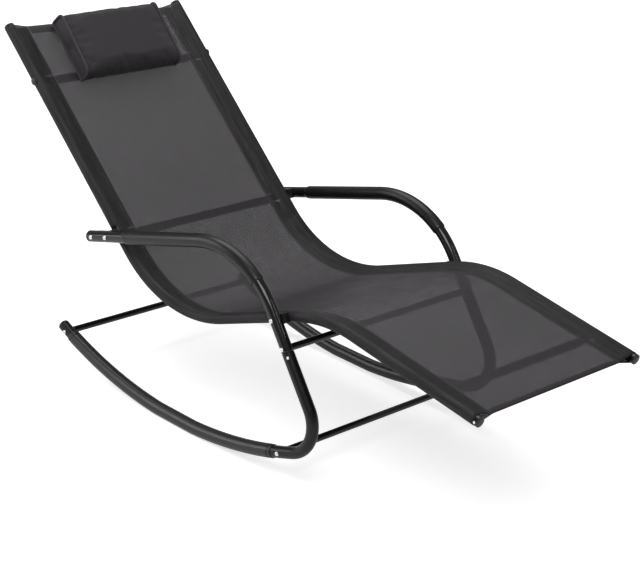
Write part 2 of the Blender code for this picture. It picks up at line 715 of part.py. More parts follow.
def snap_spring(side, x):
    """Bent leaf that pushes the button out, resting on the far wall of the neck."""
    seat = snap_seat() - SNAP_FLANGE - GAP - SPRING_THICKNESS / 2
    floor = -(FRAME_RADIUS * FRAME_NECK - TUBE_WALL - GAP * 2 - SPRING_THICKNESS / 2)
    half = SPRING_WIDTH / 2
    line = [(seat, -half), (seat, half), (seat - SPRING_BEND, half + SPRING_BEND),
            (floor + SPRING_BEND, half + SPRING_REACH), (floor, half + SPRING_TOE), (floor, -half)]
    curve = bpy.data.curves.new("leaf", "CURVE")
    curve.dimensions = "3D"
    curve.extrude = half
    spline = curve.splines.new("POLY")
    spline.points.add(len(line) - 1)
    for knot, (height, along) in zip(spline.points, line):
        knot.co = (along, height, 0.0, 1.0)
    carrier = bpy.data.objects.new("leaf", curve)
    bpy.context.scene.collection.objects.link(carrier)
    bpy.context.view_layer.update()
    mesh = weld(evaluated_mesh(carrier))
    bpy.data.objects.remove(carrier, do_unlink=True)
    item = mesh_object(side + "_snap_spring", mesh)
    leaf = item.modifiers.new("leaf", "SOLIDIFY")
    leaf.thickness = SPRING_THICKNESS
    leaf.offset = 0.0
    leaf.use_even_offset = True
    way = snap_direction(x)
    down = -Vector((0.0, math.cos(LEG_HEADING), math.sin(LEG_HEADING)))
    axes = Matrix((down, way, down.cross(way))).transposed()
    item.matrix_local = Matrix.Translation((x * FRAME_X, *SNAP_POINT)) @ axes.to_4x4()
    finish(item, ZINC)


# End plugs

def plug_mesh(bore, outer, dome):
    """Tube end plug: a spigot below zero, a flange and a low dome above it."""
    top = PLUG_FLANGE + dome
    profile = [(0.0, top), (outer * 0.55, top - dome * 0.15), (outer * 0.88, top - dome * 0.6),
               (outer, PLUG_FLANGE), (outer, GAP), (bore, GAP), (bore * 0.96, -PLUG_SPIGOT), (0.0, -PLUG_SPIGOT)]
    return turned_mesh(profile)


def plug(name, profile, distance, x, radius, reverse, dome=PLUG_DOME):
    """Plug in the end of a tube; reverse is for the end that the profile starts from."""
    point, heading = place(profile, distance)
    way = Vector((0.0, math.cos(heading), math.sin(heading))) * (-1.0 if reverse else 1.0)
    mesh = plug_mesh(radius - TUBE_WALL - GAP, radius, dome)
    return stand(name, mesh, Vector((x, *point)), way, BLACK_PLASTIC)


def plugs(side, x):
    """The four end plugs of one side, and the screw that holds the foot plug."""
    plug(side + "_head_plug", RAIL, 0.0, x * RAIL_X, RAIL_RADIUS, True)
    foot = plug(side + "_foot_plug", RAIL, RAIL_TOTAL, x * RAIL_X, RAIL_RADIUS, False)
    cut(foot, screw_hole)
    arm = plug(side + "_arm_plug", FRAME, FRAME_TOTAL, x * FRAME_X, FRAME_RADIUS, False, FRAME_PLUG_DOME)
    cut(arm, arm_rear_hole)
    plug(side + "_rocker_plug", FRAME, 0.0, x * FRAME_X, FRAME_RADIUS, True, FRAME_PLUG_DOME)
    seat = RAIL_X + RAIL_RADIUS + GAP
    head = SCREW_HEAD_RADIUS * 0.6
    profile = [(0.0, head), (SCREW_HEAD_RADIUS * 0.7, head * 0.8), (SCREW_HEAD_RADIUS, 0.0), (SCREW_RADIUS, 0.0),
               (SCREW_RADIUS, -RAIL_RADIUS * 0.8), (0.0, -RAIL_RADIUS * 0.8)]
    stand(side + "_foot_screw", turned_mesh(profile, 8), Vector((x * seat, *FOOT_SCREW)), outward(x), ZINC)


# Sling: one sheet, level with the rails' middle, whose edges wrap the rails and come back to a seam under it

WRAP_RADIUS = RAIL_RADIUS + GAP + SLING_THICKNESS / 2
SHEET_TOP = SLING_THICKNESS / 2 + GAP


def sling_section():
    """Points (x, level above the rails' middle) across the sling, from one seam to the other."""
    corner = WRAP_RADIUS * POINTED
    seam_x = RAIL_X - SLING_SEAM
    wrap = [math.radians(angle) for angle in range(-105, 106, 30)]
    ring = [(RAIL_X + corner * math.cos(angle), corner * math.sin(angle)) for angle in wrap]
    edge = [(seam_x, -SLING_THICKNESS - GAP), *ring, (seam_x, 0.0)]
    return edge + [(-x, level) for x, level in reversed(edge)]


def sling_stations():
    """Places along the rails with the direction square to the sheet."""
    line = stretch(RAIL, SLING_BARE_HEAD, RAIL_TOTAL - SLING_BARE_FOOT)
    stations = []
    for index, point in enumerate(line):
        before = line[max(index - 1, 0)]
        after = line[min(index + 1, len(line) - 1)]
        first = Vector((point[0] - before[0], point[1] - before[1]))
        second = Vector((after[0] - point[0], after[1] - point[1]))
        along = (first.normalized() + second.normalized()).normalized()
        stations.append((point, (along[1], -along[0])))
    return stations


def bent_sheet(name, section, stations, thickness, collection=parts):
    """Grid bent over a section and along stations, with an even thickness."""
    mesh = bpy.data.meshes.new(name)
    work = bmesh.new()
    columns, rows = len(section) - 1, len(stations) - 1
    bmesh.ops.create_grid(work, x_segments=columns, y_segments=rows, size=0.5)
    for vert in work.verts:
        x, level = section[round((vert.co.x + 0.5) * columns)]
        (y, z), normal = stations[round((vert.co.y + 0.5) * rows)]
        vert.co = (x, y + normal[0] * level, z + normal[1] * level)
    bmesh.ops.recalc_face_normals(work, faces=work.faces)
    work.to_mesh(mesh)
    work.free()
    item = mesh_object(name, mesh, collection)
    shell = item.modifiers.new("cloth", "SOLIDIFY")
    shell.thickness = thickness
    shell.offset = 0.0
    shell.use_even_offset = True
    return item


def sling():
    """Mesh seat sheet with openings for the bars, bolts and brackets."""
    item = bent_sheet("sling", sling_section(), sling_stations(), SLING_THICKNESS)
    bars = (("upper", UPPER_BAR, UPPER_BAR_FROM_TOP), ("lumbar", ARM_BOLT, ARM_BOLT_ON_RAIL),
            ("foot", FOOT_BAR, RAIL_TOTAL - FOOT_BAR_FROM_END))
    reach = SLING_SEAM + RAIL_RADIUS
    depth = RAIL_RADIUS * 2
    notch_top = (SLING_THICKNESS + GAP) / 2
    middle_x, width = saddle_x()
    for side, x in SIDES:
        for bar, point, distance in bars:
            heading = place(RAIL, distance)[1]
            below = ahead(point, heading + math.pi / 2, notch_top + depth / 2)
            notch = block(side + "_" + bar + "_notch", below, heading,
                          (reach, (SLING_BAR_RADIUS + NOTCH_MARGIN) * 2, depth), x * (RAIL_X - reach / 2))
            cut(item, notch)
        cap_room = across(side + "_cap_room", UPPER_BAR, CAP_RADIUS + CUT_MARGIN,
                          *sorted((x * RAIL_X, x * (RAIL_X + RAIL_RADIUS * 2))), 8)
        cut(item, cap_room)
        arm_room = block(side + "_arm_bracket_room", ARM_BOLT, -REST_LEAN,
                         (width + CUT_MARGIN * 4, BRACKET_LENGTH + CUT_MARGIN * 2, BRACKET_HEIGHT + CUT_MARGIN * 2),
                         x * (middle_x + CUT_MARGIN))
        seat_room = block(side + "_spacer_room", LEG_BOLT, math.pi - SEAT_RISE - REST_LEAN,
                          (width + CUT_MARGIN * 4, SPACER_LENGTH + CUT_MARGIN * 2, SPACER_HEIGHT + CUT_MARGIN * 2),
                          x * (middle_x + CUT_MARGIN))
        cut(item, arm_room, seat_room)
    finish(item, MESH)


# Head pillow, held by a flap that hooks over the top of the sling

def on_back(distance, level):
    """Side-plane point at a distance down the back rail and a level above it."""
    point, heading = place(RAIL, distance)
    return ahead(point, heading - math.pi / 2, level)


def pillow():
    """Boxed cushion with crowned faces and drawn-in sides."""
    level = SHEET_TOP + PILLOW_THICKNESS / 2
    centre = on_back(PILLOW_FROM_TOP, level)
    heading = place(RAIL, PILLOW_FROM_TOP)[1]
    work = bmesh.new()
    bmesh.ops.create_cube(work, size=1.0)
    bmesh.ops.subdivide_edges(work, edges=work.edges, cuts=3, use_grid_fill=True)
    for vert in work.verts:
        across_x, along, up = vert.co.x * 2, vert.co.y * 2, vert.co.z * 2
        crown = (1.0 - across_x ** 4) * (1.0 - along ** 4)
        waist = 1.0 - 0.05 * (1.0 - up * up)
        thickness = PILLOW_EDGE + (PILLOW_THICKNESS - PILLOW_EDGE) * crown
        vert.co = (across_x * PILLOW_WIDTH / 2 * waist, along * PILLOW_HEIGHT / 2 * waist, up * thickness / 2)
    bmesh.ops.rotate(work, verts=work.verts, matrix=Matrix.Rotation(heading + math.pi, 3, "X"))
    bmesh.ops.translate(work, verts=work.verts, vec=(0.0, *centre))
    mesh = bpy.data.meshes.new("head_pillow")
    work.to_mesh(mesh)
    work.free()
    item = mesh_object("head_pillow", mesh)
    soft = item.modifiers.new("soft", "SUBSURF")
    soft.levels = 1
    soft.render_levels = 1
    finish(item, MESH)


def pillow_flap():
    """Cloth flap from the pillow's top edge, over the sling's head hem and down behind the sheet."""
    top = PILLOW_FROM_TOP - PILLOW_HEIGHT / 2
    front = SHEET_TOP + PILLOW_THICKNESS / 2
    behind = SHEET_TOP + FLAP_THICKNESS
    over = SLING_BARE_HEAD - GAP * 2 - FLAP_THICKNESS
    line = [(top - GAP - FLAP_THICKNESS, front), (over + FLAP_RISE, front * 0.45), (over, SHEET_TOP + FLAP_RISE / 2),
            (over - FLAP_THICKNESS, 0.0), (over, -behind), (over + FLAP_RISE, -behind), (FLAP_DROP, -behind)]
    points = [on_back(distance, level) for distance, level in line]
    section = [(-FLAP_WIDTH / 2, 0.0), (FLAP_WIDTH / 2, 0.0)]
    item = bent_sheet("pillow_flap", section, [(point, (0.0, 0.0)) for point in points], FLAP_THICKNESS)
    finish(item, MESH)


# Build

snap_holes = {side: snap_hole(side, x) for side, x in SIDES}
screw_hole = across("foot_screw_hole", FOOT_SCREW, SCREW_RADIUS + HOLE_CLEARANCE, -HOLE_REACH, HOLE_REACH, 8)

for side, x in SIDES:
    rails(side, x)
    frames(side, x)
    rocker_sleeve(side, x)
    arm_grip(side, x)
    arm_bracket(side, x)
    seat_spacer(side, x)
    fasteners(side, x)
    snap_button(side, x)
    snap_spring(side, x)
    plugs(side, x)

sling_bar("upper_sling_bar", UPPER_BAR, UPPER_BAR_FROM_TOP)
sling_bar("lumbar_sling_bar", ARM_BOLT, ARM_BOLT_ON_RAIL)
sling_bar("foot_sling_bar", FOOT_BAR, RAIL_TOTAL - FOOT_BAR_FROM_END)
crossbar("leg_crossbar", LEG_BAR, leg_hole)
crossbar("toe_crossbar", TOE_BAR, toe_hole)
crossbar("rear_crossbar", REAR_BAR, rear_hole)

sling()
pillow()
pillow_flap()

# Set the chair's origin under the middle of its length

bpy.context.view_layer.update()
reach = [(item.matrix_world @ vert.co).y
         for item in parts.objects if item.type == "MESH"
         for vert in evaluated_mesh(item).vertices]
root.location.y = -(min(reach) + max(reach)) / 2
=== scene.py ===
"""Looks of the outdoor rocking chair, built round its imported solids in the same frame.

Metres, +Z up. The foot end points to -Y, the sitter's left is +X and the floor is Z = 0.
Sizes and side profiles repeat those of the part's source, with finer steps.
"""

import bisect
from math import acos, atan2, copysign, cos, dist, fmod, pi, radians, remainder, sin, sqrt, tan, tau

import bmesh
import bpy
from mathutils import Matrix, Vector, noise


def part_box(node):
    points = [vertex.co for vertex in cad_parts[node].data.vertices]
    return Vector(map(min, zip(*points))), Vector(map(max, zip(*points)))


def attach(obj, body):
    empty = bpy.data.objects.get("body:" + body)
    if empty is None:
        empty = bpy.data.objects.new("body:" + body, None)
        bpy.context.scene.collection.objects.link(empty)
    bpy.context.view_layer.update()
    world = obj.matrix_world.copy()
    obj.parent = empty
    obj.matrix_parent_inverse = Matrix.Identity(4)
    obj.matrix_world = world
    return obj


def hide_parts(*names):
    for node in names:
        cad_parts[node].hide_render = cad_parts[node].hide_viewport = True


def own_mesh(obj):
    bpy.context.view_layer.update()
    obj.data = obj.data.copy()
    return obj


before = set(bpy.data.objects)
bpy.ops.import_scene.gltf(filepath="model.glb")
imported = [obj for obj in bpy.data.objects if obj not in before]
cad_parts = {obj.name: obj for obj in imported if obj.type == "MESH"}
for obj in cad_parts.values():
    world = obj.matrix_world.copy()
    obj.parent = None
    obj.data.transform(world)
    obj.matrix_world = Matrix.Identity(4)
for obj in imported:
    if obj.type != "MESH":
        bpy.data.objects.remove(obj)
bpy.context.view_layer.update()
scene = bpy.context.scene

# Sizes of the chair
RAIL_SPACING = 0.542
FRAME_SPACING = 0.611
REST_LEAN = radians(16.6)
BACK_LENGTH = 0.648
BACK_ANGLE = radians(57.8)
LUMBAR_RADIUS = 0.317
SEAT_RISE = radians(4.4)
SEAT_LENGTH = 0.241
KNEE_RADIUS = 0.344
FOOT_FALL = radians(25.7)
FOOT_LENGTH = 0.363
ARM_LENGTH = 0.383
ARM_BEND_RADIUS = 0.228
LEG_ANGLE = radians(70)
LEG_LENGTH = 0.230
TOE_RADIUS = 0.079
ROCKER_RADIUS = 1.080
ROCKER_FRONT_ANGLE = radians(20.6)
ROCKER_REAR_ANGLE = radians(22.9)
ROCKER_FLAT = 0.120

# Sections
RAIL_RADIUS = 0.0125
FRAME_RADIUS = 0.014
GRIP_RADIUS = 0.0165
SLEEVE_WALL = 0.002
TUBE_WALL = 0.0012
TUBE_LIP = 0.0005
FRAME_LIP = 0.0006
SLING_BAR_RADIUS = 0.010
CROSSBAR_RADIUS = 0.008
GAP = 0.0003

# Places along the tubes
UPPER_BAR_FROM_TOP = 0.160
FOOT_BAR_FROM_END = 0.121
SEAT_BOLT_BEFORE_KNEE = 0.022
LEG_BOLT_DROP = 0.022
LEG_BAR_DROP = 0.089
LEG_JOINT_DROP = 0.098
SNAP_DROP = 0.110
NECK_LENGTH = 0.055
ARM_REAR_BOLT_FROM_END = 0.0165
GRIP_AHEAD_OF_ARM_BOLT = 0.0615
GRIP_LENGTH = 0.460
TOE_BAR_FROM_FRONT = 0.036
SLEEVE_FROM_FRONT = 0.060
REAR_BAR_FROM_END = 0.021
SLEEVE_FROM_END = 0.038
RAIL_NECK_BELOW_BOLT = 0.026
# Length of the black ring at each tread end, a painted shade of the gap there
TREAD_SHADE_RING = 0.011
TREAD_GROOVE = 0.0007

# Fasteners and plugs
SHANK_RADIUS = 0.003
HEAD_RADIUS = 0.00525
HEAD_HEIGHT = 0.0033
CAP_RADIUS = 0.010
CAP_HEIGHT = 0.0045
SOCKET_RADIUS = 0.0023
SOCKET_DEPTH = 0.0018
THREAD_DEPTH = 0.014
SNAP_RADIUS = 0.0035
SNAP_PROUD = 0.0028
SNAP_TURN = radians(30)
SNAP_FLANGE_RADIUS = 0.0048
SNAP_FLANGE = 0.0012
SPRING_WIDTH = 0.006
SPRING_THICKNESS = 0.0006
PLUG_SPIGOT = 0.015
PLUG_FLANGE = 0.002
PLUG_DOME = 0.003
FRAME_PLUG_DOME = 0.007
SCREW_RADIUS = 0.0015
SCREW_HEAD_RADIUS = 0.003
SCREW_FROM_END = 0.0038
NUT_HEIGHT = 0.005
TONGUE_THICKNESS = 0.004

# Sling
SLING_THICKNESS = 0.001
VISIBLE_THICKNESS = 0.00008
SLING_SEAM = 0.050
SLING_BARE_HEAD = 0.003
SLING_BARE_FOOT = 0.0075
SEAM_ALLOWANCE = 0.002
UNDER = 0.0006
NOTCH_MARGIN = 0.0025
SLING_BAR_STRAIGHT = 0.008
SLING_BAR_BEND = 0.006
HEAD_DIP = 0.008
DIP_REACH = 0.15
HEAD_HEM = 0.023
FOOT_HEM = 0.016
PUCKER = 0.0006
LUMBAR_PUCKER = 0.0022
WELT_HALF = 0.0016
MESH_PITCH = 0.0022
MESH_GAP = 0.942
PILLOW_PITCH = 0.0011
STITCH_PITCH = 0.0052

# Pillow: the skew is how far its upper edge lies off the middle
PILLOW_FROM_TOP = 0.098
PILLOW_LENGTH = 0.172
PILLOW_SKEW = 0.005
PILLOW_HALF_TOP = 0.150
PILLOW_HALF_LOW = 0.151
PILLOW_BACK = 0.0012
PILLOW_CROWN = 0.16
PILLOW_STRETCH = 0.012
PILLOW_CAP = 0.008
PILLOW_GROOVE = 0.0022
PILLOW_GROOVE_ABOVE = 0.038
PIPING_RADIUS = 0.0032
# Corners of its section as (along the back, level, radius)
PILLOW_CORNERS = ((-0.086, PILLOW_BACK, 0.010), (-0.083, 0.050, 0.012),
                  (0.086, 0.044, 0.018), (0.086, PILLOW_BACK, 0.008))
FLAP_WIDTH = 0.250
FLAP_VISIBLE = 0.0007
FLAP_HEM = 0.014
# Points of the flap as (along the back, level, share of the head edge's dip)
FLAP_POINTS = ((0.0168, 0.031, 0), (0.0125, 0.028, 0.3), (0.0085, 0.0165, 0.7), (0.003, 0.0052, 1),
               (0.0006, 0.0012, 1), (0.0006, -0.0008, 1), (0.0022, -0.0017, 1), (0.008, -0.0018, 0.95),
               (0.050, -0.0018, 0.5), (0.100, -0.0018, 0))

# Steps of the curves and grids
ROCKER_STEPS = 40
TOE_STEPS = 32
ARM_STEPS = 36
LUMBAR_STEPS = 84
KNEE_STEPS = 54
KNEE_START = LUMBAR_STEPS + 2
ROUND = 36
WRAP_STEPS = 28
SLEEVE_STEPS = 5
PANEL_STEPS = 30
ROW_STEP = 0.009
PILLOW_STEP = 0.005
PILLOW_COLUMNS = 62
PIPING_SIDES = 8
PIPING_SIDE = 0.0013
SHARP = radians(38)

# Sizes that follow from these
RAIL_X = RAIL_SPACING / 2
SEAM_X = RAIL_X - SLING_SEAM
FRAME_X = FRAME_SPACING / 2
FRAME_BORE = FRAME_RADIUS - TUBE_WALL
NECK_RADIUS = FRAME_BORE - GAP
NECK_BORE = NECK_RADIUS - TUBE_WALL
SNAP_SEAT = NECK_BORE - 0.0014
SLING_BAR_DROP = SLING_BAR_RADIUS + SLING_THICKNESS / 2 + GAP * 3
WRAP_RADIUS = RAIL_RADIUS + GAP + SLING_THICKNESS / 2
TANGENT = pi - acos(WRAP_RADIUS / SLING_SEAM)
TANGENT_X = RAIL_X + WRAP_RADIUS * cos(TANGENT)
SLEEVE_RISE = WRAP_RADIUS * sin(TANGENT)
BACK_HEADING = pi + BACK_ANGLE - REST_LEAN
SIDES = (("right", -1), ("left", 1))


# Side profiles: lines through (y, z) points

def spaced(low, high, count):
    return [low + (high - low) * i / count for i in range(count + 1)]


def ahead(point, heading, length):
    return (point[0] + cos(heading) * length, point[1] + sin(heading) * length)


def bent(points, heading, *steps):
    """Line that goes on by straight lengths and by arcs of (radius, new heading, number of steps)."""
    points = list(points)
    for step in steps:
        if isinstance(step, float):
            points.append(ahead(points[-1], heading, step))
            continue
        radius, new_heading, count = step
        quarter = copysign(pi / 2, new_heading - heading)
        centre = ahead(points[-1], heading + quarter, radius)
        turns = spaced(heading, new_heading, count)[1:]
        points += [ahead(centre, turn - quarter, radius) for turn in turns]
        heading = new_heading
    return points


def lengths(points):
    """Running length at each point."""
    running = [0]
    for before, after in zip(points, points[1:]):
        running.append(running[-1] + dist(before, after))
    return running


def step_at(running, distance):
    """Index of the step that holds a distance."""
    return min(max(bisect.bisect_right(running, distance) - 1, 0), len(running) - 2)


def between(values, running, distance):
    """Vector at a distance along a row of vectors."""
    index = step_at(running, distance)
    share = (distance - running[index]) / (running[index + 1] - running[index])
    return values[index].lerp(values[index + 1], share)


class Line:
    """Side profile, measured along its length."""

    def __init__(self, points):
        self.points = points
        self.running = lengths(points)
        self.total = self.running[-1]

    def place(self, distance):
        """Point and heading at a distance."""
        index = step_at(self.running, distance)
        before, after = self.points[index], self.points[index + 1]
        heading = atan2(after[1] - before[1], after[0] - before[0])
        return ahead(before, heading, distance - self.running[index]), heading

    def smooth_place(self, distance, reach=0.0008):
        """Point at a distance, with the heading averaged over a corner there."""
        before = self.place(distance - reach)[1]
        turn = remainder(self.place(distance + reach)[1] - before, tau)
        return self.place(distance)[0], before + turn / 2


def rail_profile(seat_bolt):
    """Sling rail from head to foot, placed by its bolt on the leg."""
    seat_heading = pi - SEAT_RISE - REST_LEAN
    foot_heading = pi + FOOT_FALL - REST_LEAN
    profile = bent([(0, 0)], BACK_HEADING, BACK_LENGTH, (LUMBAR_RADIUS, seat_heading, LUMBAR_STEPS),
                   SEAT_LENGTH, (KNEE_RADIUS, foot_heading, KNEE_STEPS), FOOT_LENGTH)
    bolt = ahead(profile[KNEE_START], seat_heading, -SEAT_BOLT_BEFORE_KNEE)
    return [(y + seat_bolt[0] - bolt[0], z + seat_bolt[1] - bolt[1]) for y, z in profile]


# Frame line from the rear end over the rocker, with one flat step at its low point, the toe bend and the leg
FLAT_ANGLE = ROCKER_FLAT / ROCKER_RADIUS / 2
LEG_HEADING = LEG_ANGLE - REST_LEAN
ROCKER_CENTRE = (0, FRAME_RADIUS + GAP + SLEEVE_WALL + ROCKER_RADIUS * cos(FLAT_ANGLE))
UNMOVED = Line(bent([ahead(ROCKER_CENTRE, ROCKER_REAR_ANGLE - pi / 2, ROCKER_RADIUS)], pi + ROCKER_REAR_ANGLE,
                    (ROCKER_RADIUS, pi + FLAT_ANGLE, ROCKER_STEPS), (ROCKER_RADIUS, pi - FLAT_ANGLE, 1),
                    (ROCKER_RADIUS, pi - ROCKER_FRONT_ANGLE, ROCKER_STEPS),
                    (TOE_RADIUS, LEG_HEADING, TOE_STEPS),
                    LEG_LENGTH, (ARM_BEND_RADIUS, -REST_LEAN, ARM_STEPS), ARM_LENGTH))
ROCKER_LENGTH = UNMOVED.running[ROCKER_STEPS * 2 + 1]
LEG_TOP = UNMOVED.running[-ARM_STEPS - 2]
bar_low, bar_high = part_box("leg_crossbar")
ORIGIN_SHIFT = (bar_low.y + bar_high.y) / 2 - UNMOVED.place(LEG_TOP - LEG_BAR_DROP)[0][0]
FRAME = Line([(y + ORIGIN_SHIFT, z) for y, z in UNMOVED.points])
LEG_BOLT = FRAME.place(LEG_TOP - LEG_BOLT_DROP)[0]
RAIL = Line(rail_profile(LEG_BOLT))
ARM_OFFSET = [frame_end - rail_end for frame_end, rail_end in zip(FRAME.points[-1], RAIL.points[0])]
RAIL_ABOVE_ARM = sin(REST_LEAN) * ARM_OFFSET[0] + cos(REST_LEAN) * ARM_OFFSET[1]
ARM_BOLT_ON_RAIL = RAIL_ABOVE_ARM / sin(BACK_HEADING + REST_LEAN)
ARM_BOLT = RAIL.place(ARM_BOLT_ON_RAIL)[0]
ARM_BOLT_ON_FRAME = FRAME.total - dist(FRAME.points[-1], ARM_BOLT)
LEG_BOLT_ON_RAIL = RAIL.running[KNEE_START] - SEAT_BOLT_BEFORE_KNEE
RAIL_SPLIT = ARM_BOLT_ON_RAIL + RAIL_NECK_BELOW_BOLT
SLING_BARS = {"upper": UPPER_BAR_FROM_TOP, "lumbar": ARM_BOLT_ON_RAIL, "foot": RAIL.total - FOOT_BAR_FROM_END}
CROSSBARS = {"leg": LEG_TOP - LEG_BAR_DROP, "toe": ROCKER_LENGTH - TOE_BAR_FROM_FRONT,
             "rear": REAR_BAR_FROM_END}
ARM_REAR_BOLT = FRAME.place(FRAME.total - ARM_REAR_BOLT_FROM_END)[0]
SNAP_POINT = FRAME.place(LEG_TOP - SNAP_DROP)[0]
FOOT_SCREW = RAIL.place(RAIL.total - SCREW_FROM_END)[0]
JOINT = LEG_TOP - LEG_JOINT_DROP
SLING_END = RAIL.total - SLING_BARE_FOOT


# Materials

class Nodes:
    """Adds nodes to a tree; each input is a value or another node's output."""

    def __init__(self, tree):
        self.tree = tree

    def put(self, value, socket):
        if isinstance(value, bpy.types.NodeSocket):
            self.tree.links.new(value, socket)
        elif socket.type == "RGBA":
            socket.default_value = (*value, 1)
        else:
            socket.default_value = value

    def add(self, kind, inputs, output=0, **settings):
        """Makes a node and returns one of its outputs."""
        made = self.tree.nodes.new("ShaderNode" + kind)
        for key, value in settings.items():
            setattr(made, key, value)
        for key, value in inputs.items():
            self.put(value, made.inputs[key])
        return made.outputs[output] if made.outputs else None

    def math(self, operation, *values):
        return self.add("Math", dict(enumerate(values)), operation=operation)

    def where(self):
        return self.add("TexCoord", {}, "Object")

    def noise(self, scale, detail):
        """Noise on the piece, with a scale in cells per metre."""
        return self.add("TexNoise", {"Vector": self.where(), "Scale": scale, "Detail": detail}, "Fac")

    def ranged(self, value, low, high, to_low=0, to_high=1):
        return self.add("MapRange", {"Value": value, "From Min": low, "From Max": high,
                                     "To Min": to_low, "To Max": to_high})

    def mix(self, share, first, second):
        return self.add("Mix", {"Factor": share, "A": first, "B": second}, "Result", data_type="RGBA")


class Look(Nodes):
    """Principled material, given by its colour, roughness, specular level and further sockets."""

    def __init__(self, name, colour, roughness, level=0.5, **sockets):
        self.surface = bpy.data.materials.new(name)
        self.surface.use_nodes = True
        super().__init__(self.surface.node_tree)
        self.set(Base_Color=colour, Roughness=roughness, Specular_IOR_Level=level, **sockets)

    def set(self, **sockets):
        shader = self.tree.nodes["Principled BSDF"]
        for name, value in sockets.items():
            self.put(value, shader.inputs[name.replace("_", " ")])

    def rough(self, wear, low, high):
        self.set(Roughness=self.ranged(wear, 0.3, 0.7, low, high))

    def tinted(self, wear, dark, light):
        self.set(Base_Color=self.mix(wear, dark, light))

    def bumped(self, height, strength, distance=0.0003):
        self.set(Normal=self.add("Bump", {"Height": height, "Strength": strength, "Distance": distance}))

    def cloth(self):
        """Lengths on the cloth, in metres."""
        return self.add("UVMap", {}, uv_map="cloth")

    def weave(self, pitch):
        """Waves over warp and weft, from 0 on a thread to 1 in a gap."""
        waves = []
        for axis in (0, 1):
            place = self.add("SeparateXYZ", {0: self.cloth()}, axis)
            turns = self.math("MULTIPLY", place, pi / pitch)
            waves.append(self.math("ABSOLUTE", self.math("SINE", turns)))
        return waves


def coat_material(name, dark, light, rough, wear, grain, strength, level):
    """Paint or plastic with patches of wear and a fine grain, both in cells per metre."""
    look = Look(name, light, rough[0], level)
    patches = look.noise(wear, 4)
    look.rough(patches, *rough)
    look.tinted(patches, dark, light)
    look.bumped(look.noise(grain, 2), strength)
    return look.surface


def foam_material():
    """Smooth foam with fine pores."""
    look = Look("grip_foam", (0.007, 0.0062, 0.007), 0.33, 0.34)
    cells = look.add("TexVoronoi", {"Vector": look.where(), "Scale": 750}, "Distance")
    wear = look.noise(22, 4)
    look.tinted(wear, (0.0050, 0.0044, 0.0050), (0.0085, 0.0075, 0.0085))
    look.rough(wear, 0.28, 0.38)
    look.bumped(look.ranged(cells, 0.05, 0.45), 0.15)
    return look.surface


def zinc_material():
    """Bright zinc plate with turned marks."""
    look = Look("zinc_steel", (0.78, 0.79, 0.80), 0.26, Metallic=1)
    marks = look.noise(700, 3)
    look.rough(marks, 0.2, 0.36)
    look.tinted(look.noise(160, 3), (0.74, 0.75, 0.77), (0.90, 0.90, 0.89))
    look.bumped(marks, 0.05, 0.0002)
    return look.surface


def sling_material():
    """Open mesh with square holes; its doubled side sleeves get a darker tint than the panel, with long
    streaks: painted shade and painted crinkle light and shade.
    """
    look = Look("sling_mesh", (0.020, 0.0193, 0.0207), 0.55, 0.3)
    warp, weft = look.weave(MESH_PITCH)
    gap = look.math("MINIMUM", warp, weft)
    look.set(Alpha=look.ranged(gap, MESH_GAP - 0.04, MESH_GAP + 0.04, 1, 0))
    valley = look.math("MAXIMUM", warp, weft)
    look.bumped(look.math("SUBTRACT", 1, valley), 0.4)
    # Long streaks along the sleeves: painted light and shade of their crinkles
    crinkle_space = look.add("Mapping", {"Vector": look.cloth(), "Scale": (230, 9, 1)})
    crinkle_shade = look.add("TexNoise", {"Vector": crinkle_space, "Scale": 1, "Detail": 4}, "Fac")
    side = look.math("ABSOLUTE", look.add("SeparateXYZ", {0: look.cloth()}))
    even = look.noise(14, 5)
    # Panel and sleeves are one cloth; the sleeves' darker tint is painted shade
    panel = look.mix(even, (0.0213, 0.0182, 0.0213), (0.0307, 0.0262, 0.0307))
    sleeve = look.mix(look.ranged(crinkle_shade, 0.36, 0.64), (0.0038, 0.0033, 0.0038), (0.0215, 0.0189, 0.0215))
    look.tinted(look.ranged(side, SEAM_X - 0.003, SEAM_X + 0.003), panel, sleeve)
    look.rough(even, 0.5, 0.62)
    return look.surface


def pillow_material(name, dark, light):
    """Close-woven cloth with slight slubs."""
    look = Look(name, light, 0.78, 0.25, Sheen_Weight=0.06, Sheen_Roughness=0.45)
    slub = look.noise(60, 5)
    look.tinted(slub, dark, light)
    look.rough(slub, 0.72, 0.84)
    look.bumped(look.math("MULTIPLY", *look.weave(PILLOW_PITCH)), 0.3)
    return look.surface


def thread_material(name, dark, light):
    look = Look(name, light, 0.55, 0.3)
    twist = look.noise(900, 2)
    look.tinted(twist, dark, light)
    look.bumped(twist, 0.2, 0.0002)
    return look.surface


PAINT = coat_material("gloss_black_paint", (0.004, 0.004, 0.0045), (0.0065, 0.0063, 0.0068), (0.09, 0.15),
                      wear=34, grain=620, strength=0.04, level=0.45)
SATIN = coat_material("satin_black_paint", (0.003, 0.003, 0.0034), (0.006, 0.0058, 0.0063), (0.26, 0.34),
                      wear=34, grain=620, strength=0.07, level=0.32)
PLASTIC = coat_material("black_plastic", (0.006, 0.006, 0.0065), (0.011, 0.011, 0.0115), (0.34, 0.48),
                        wear=26, grain=650, strength=0.12, level=0.5)
TREAD = coat_material("tread_plastic", (0.0108, 0.0092, 0.0106), (0.0172, 0.0148, 0.0170), (0.3, 0.38),
                      wear=26, grain=420, strength=0.12, level=0.5)
FOAM = foam_material()
ZINC = zinc_material()
SLING = sling_material()
PILLOW = pillow_material("pillow_cloth", (0.026, 0.0232, 0.026), (0.036, 0.0322, 0.036))
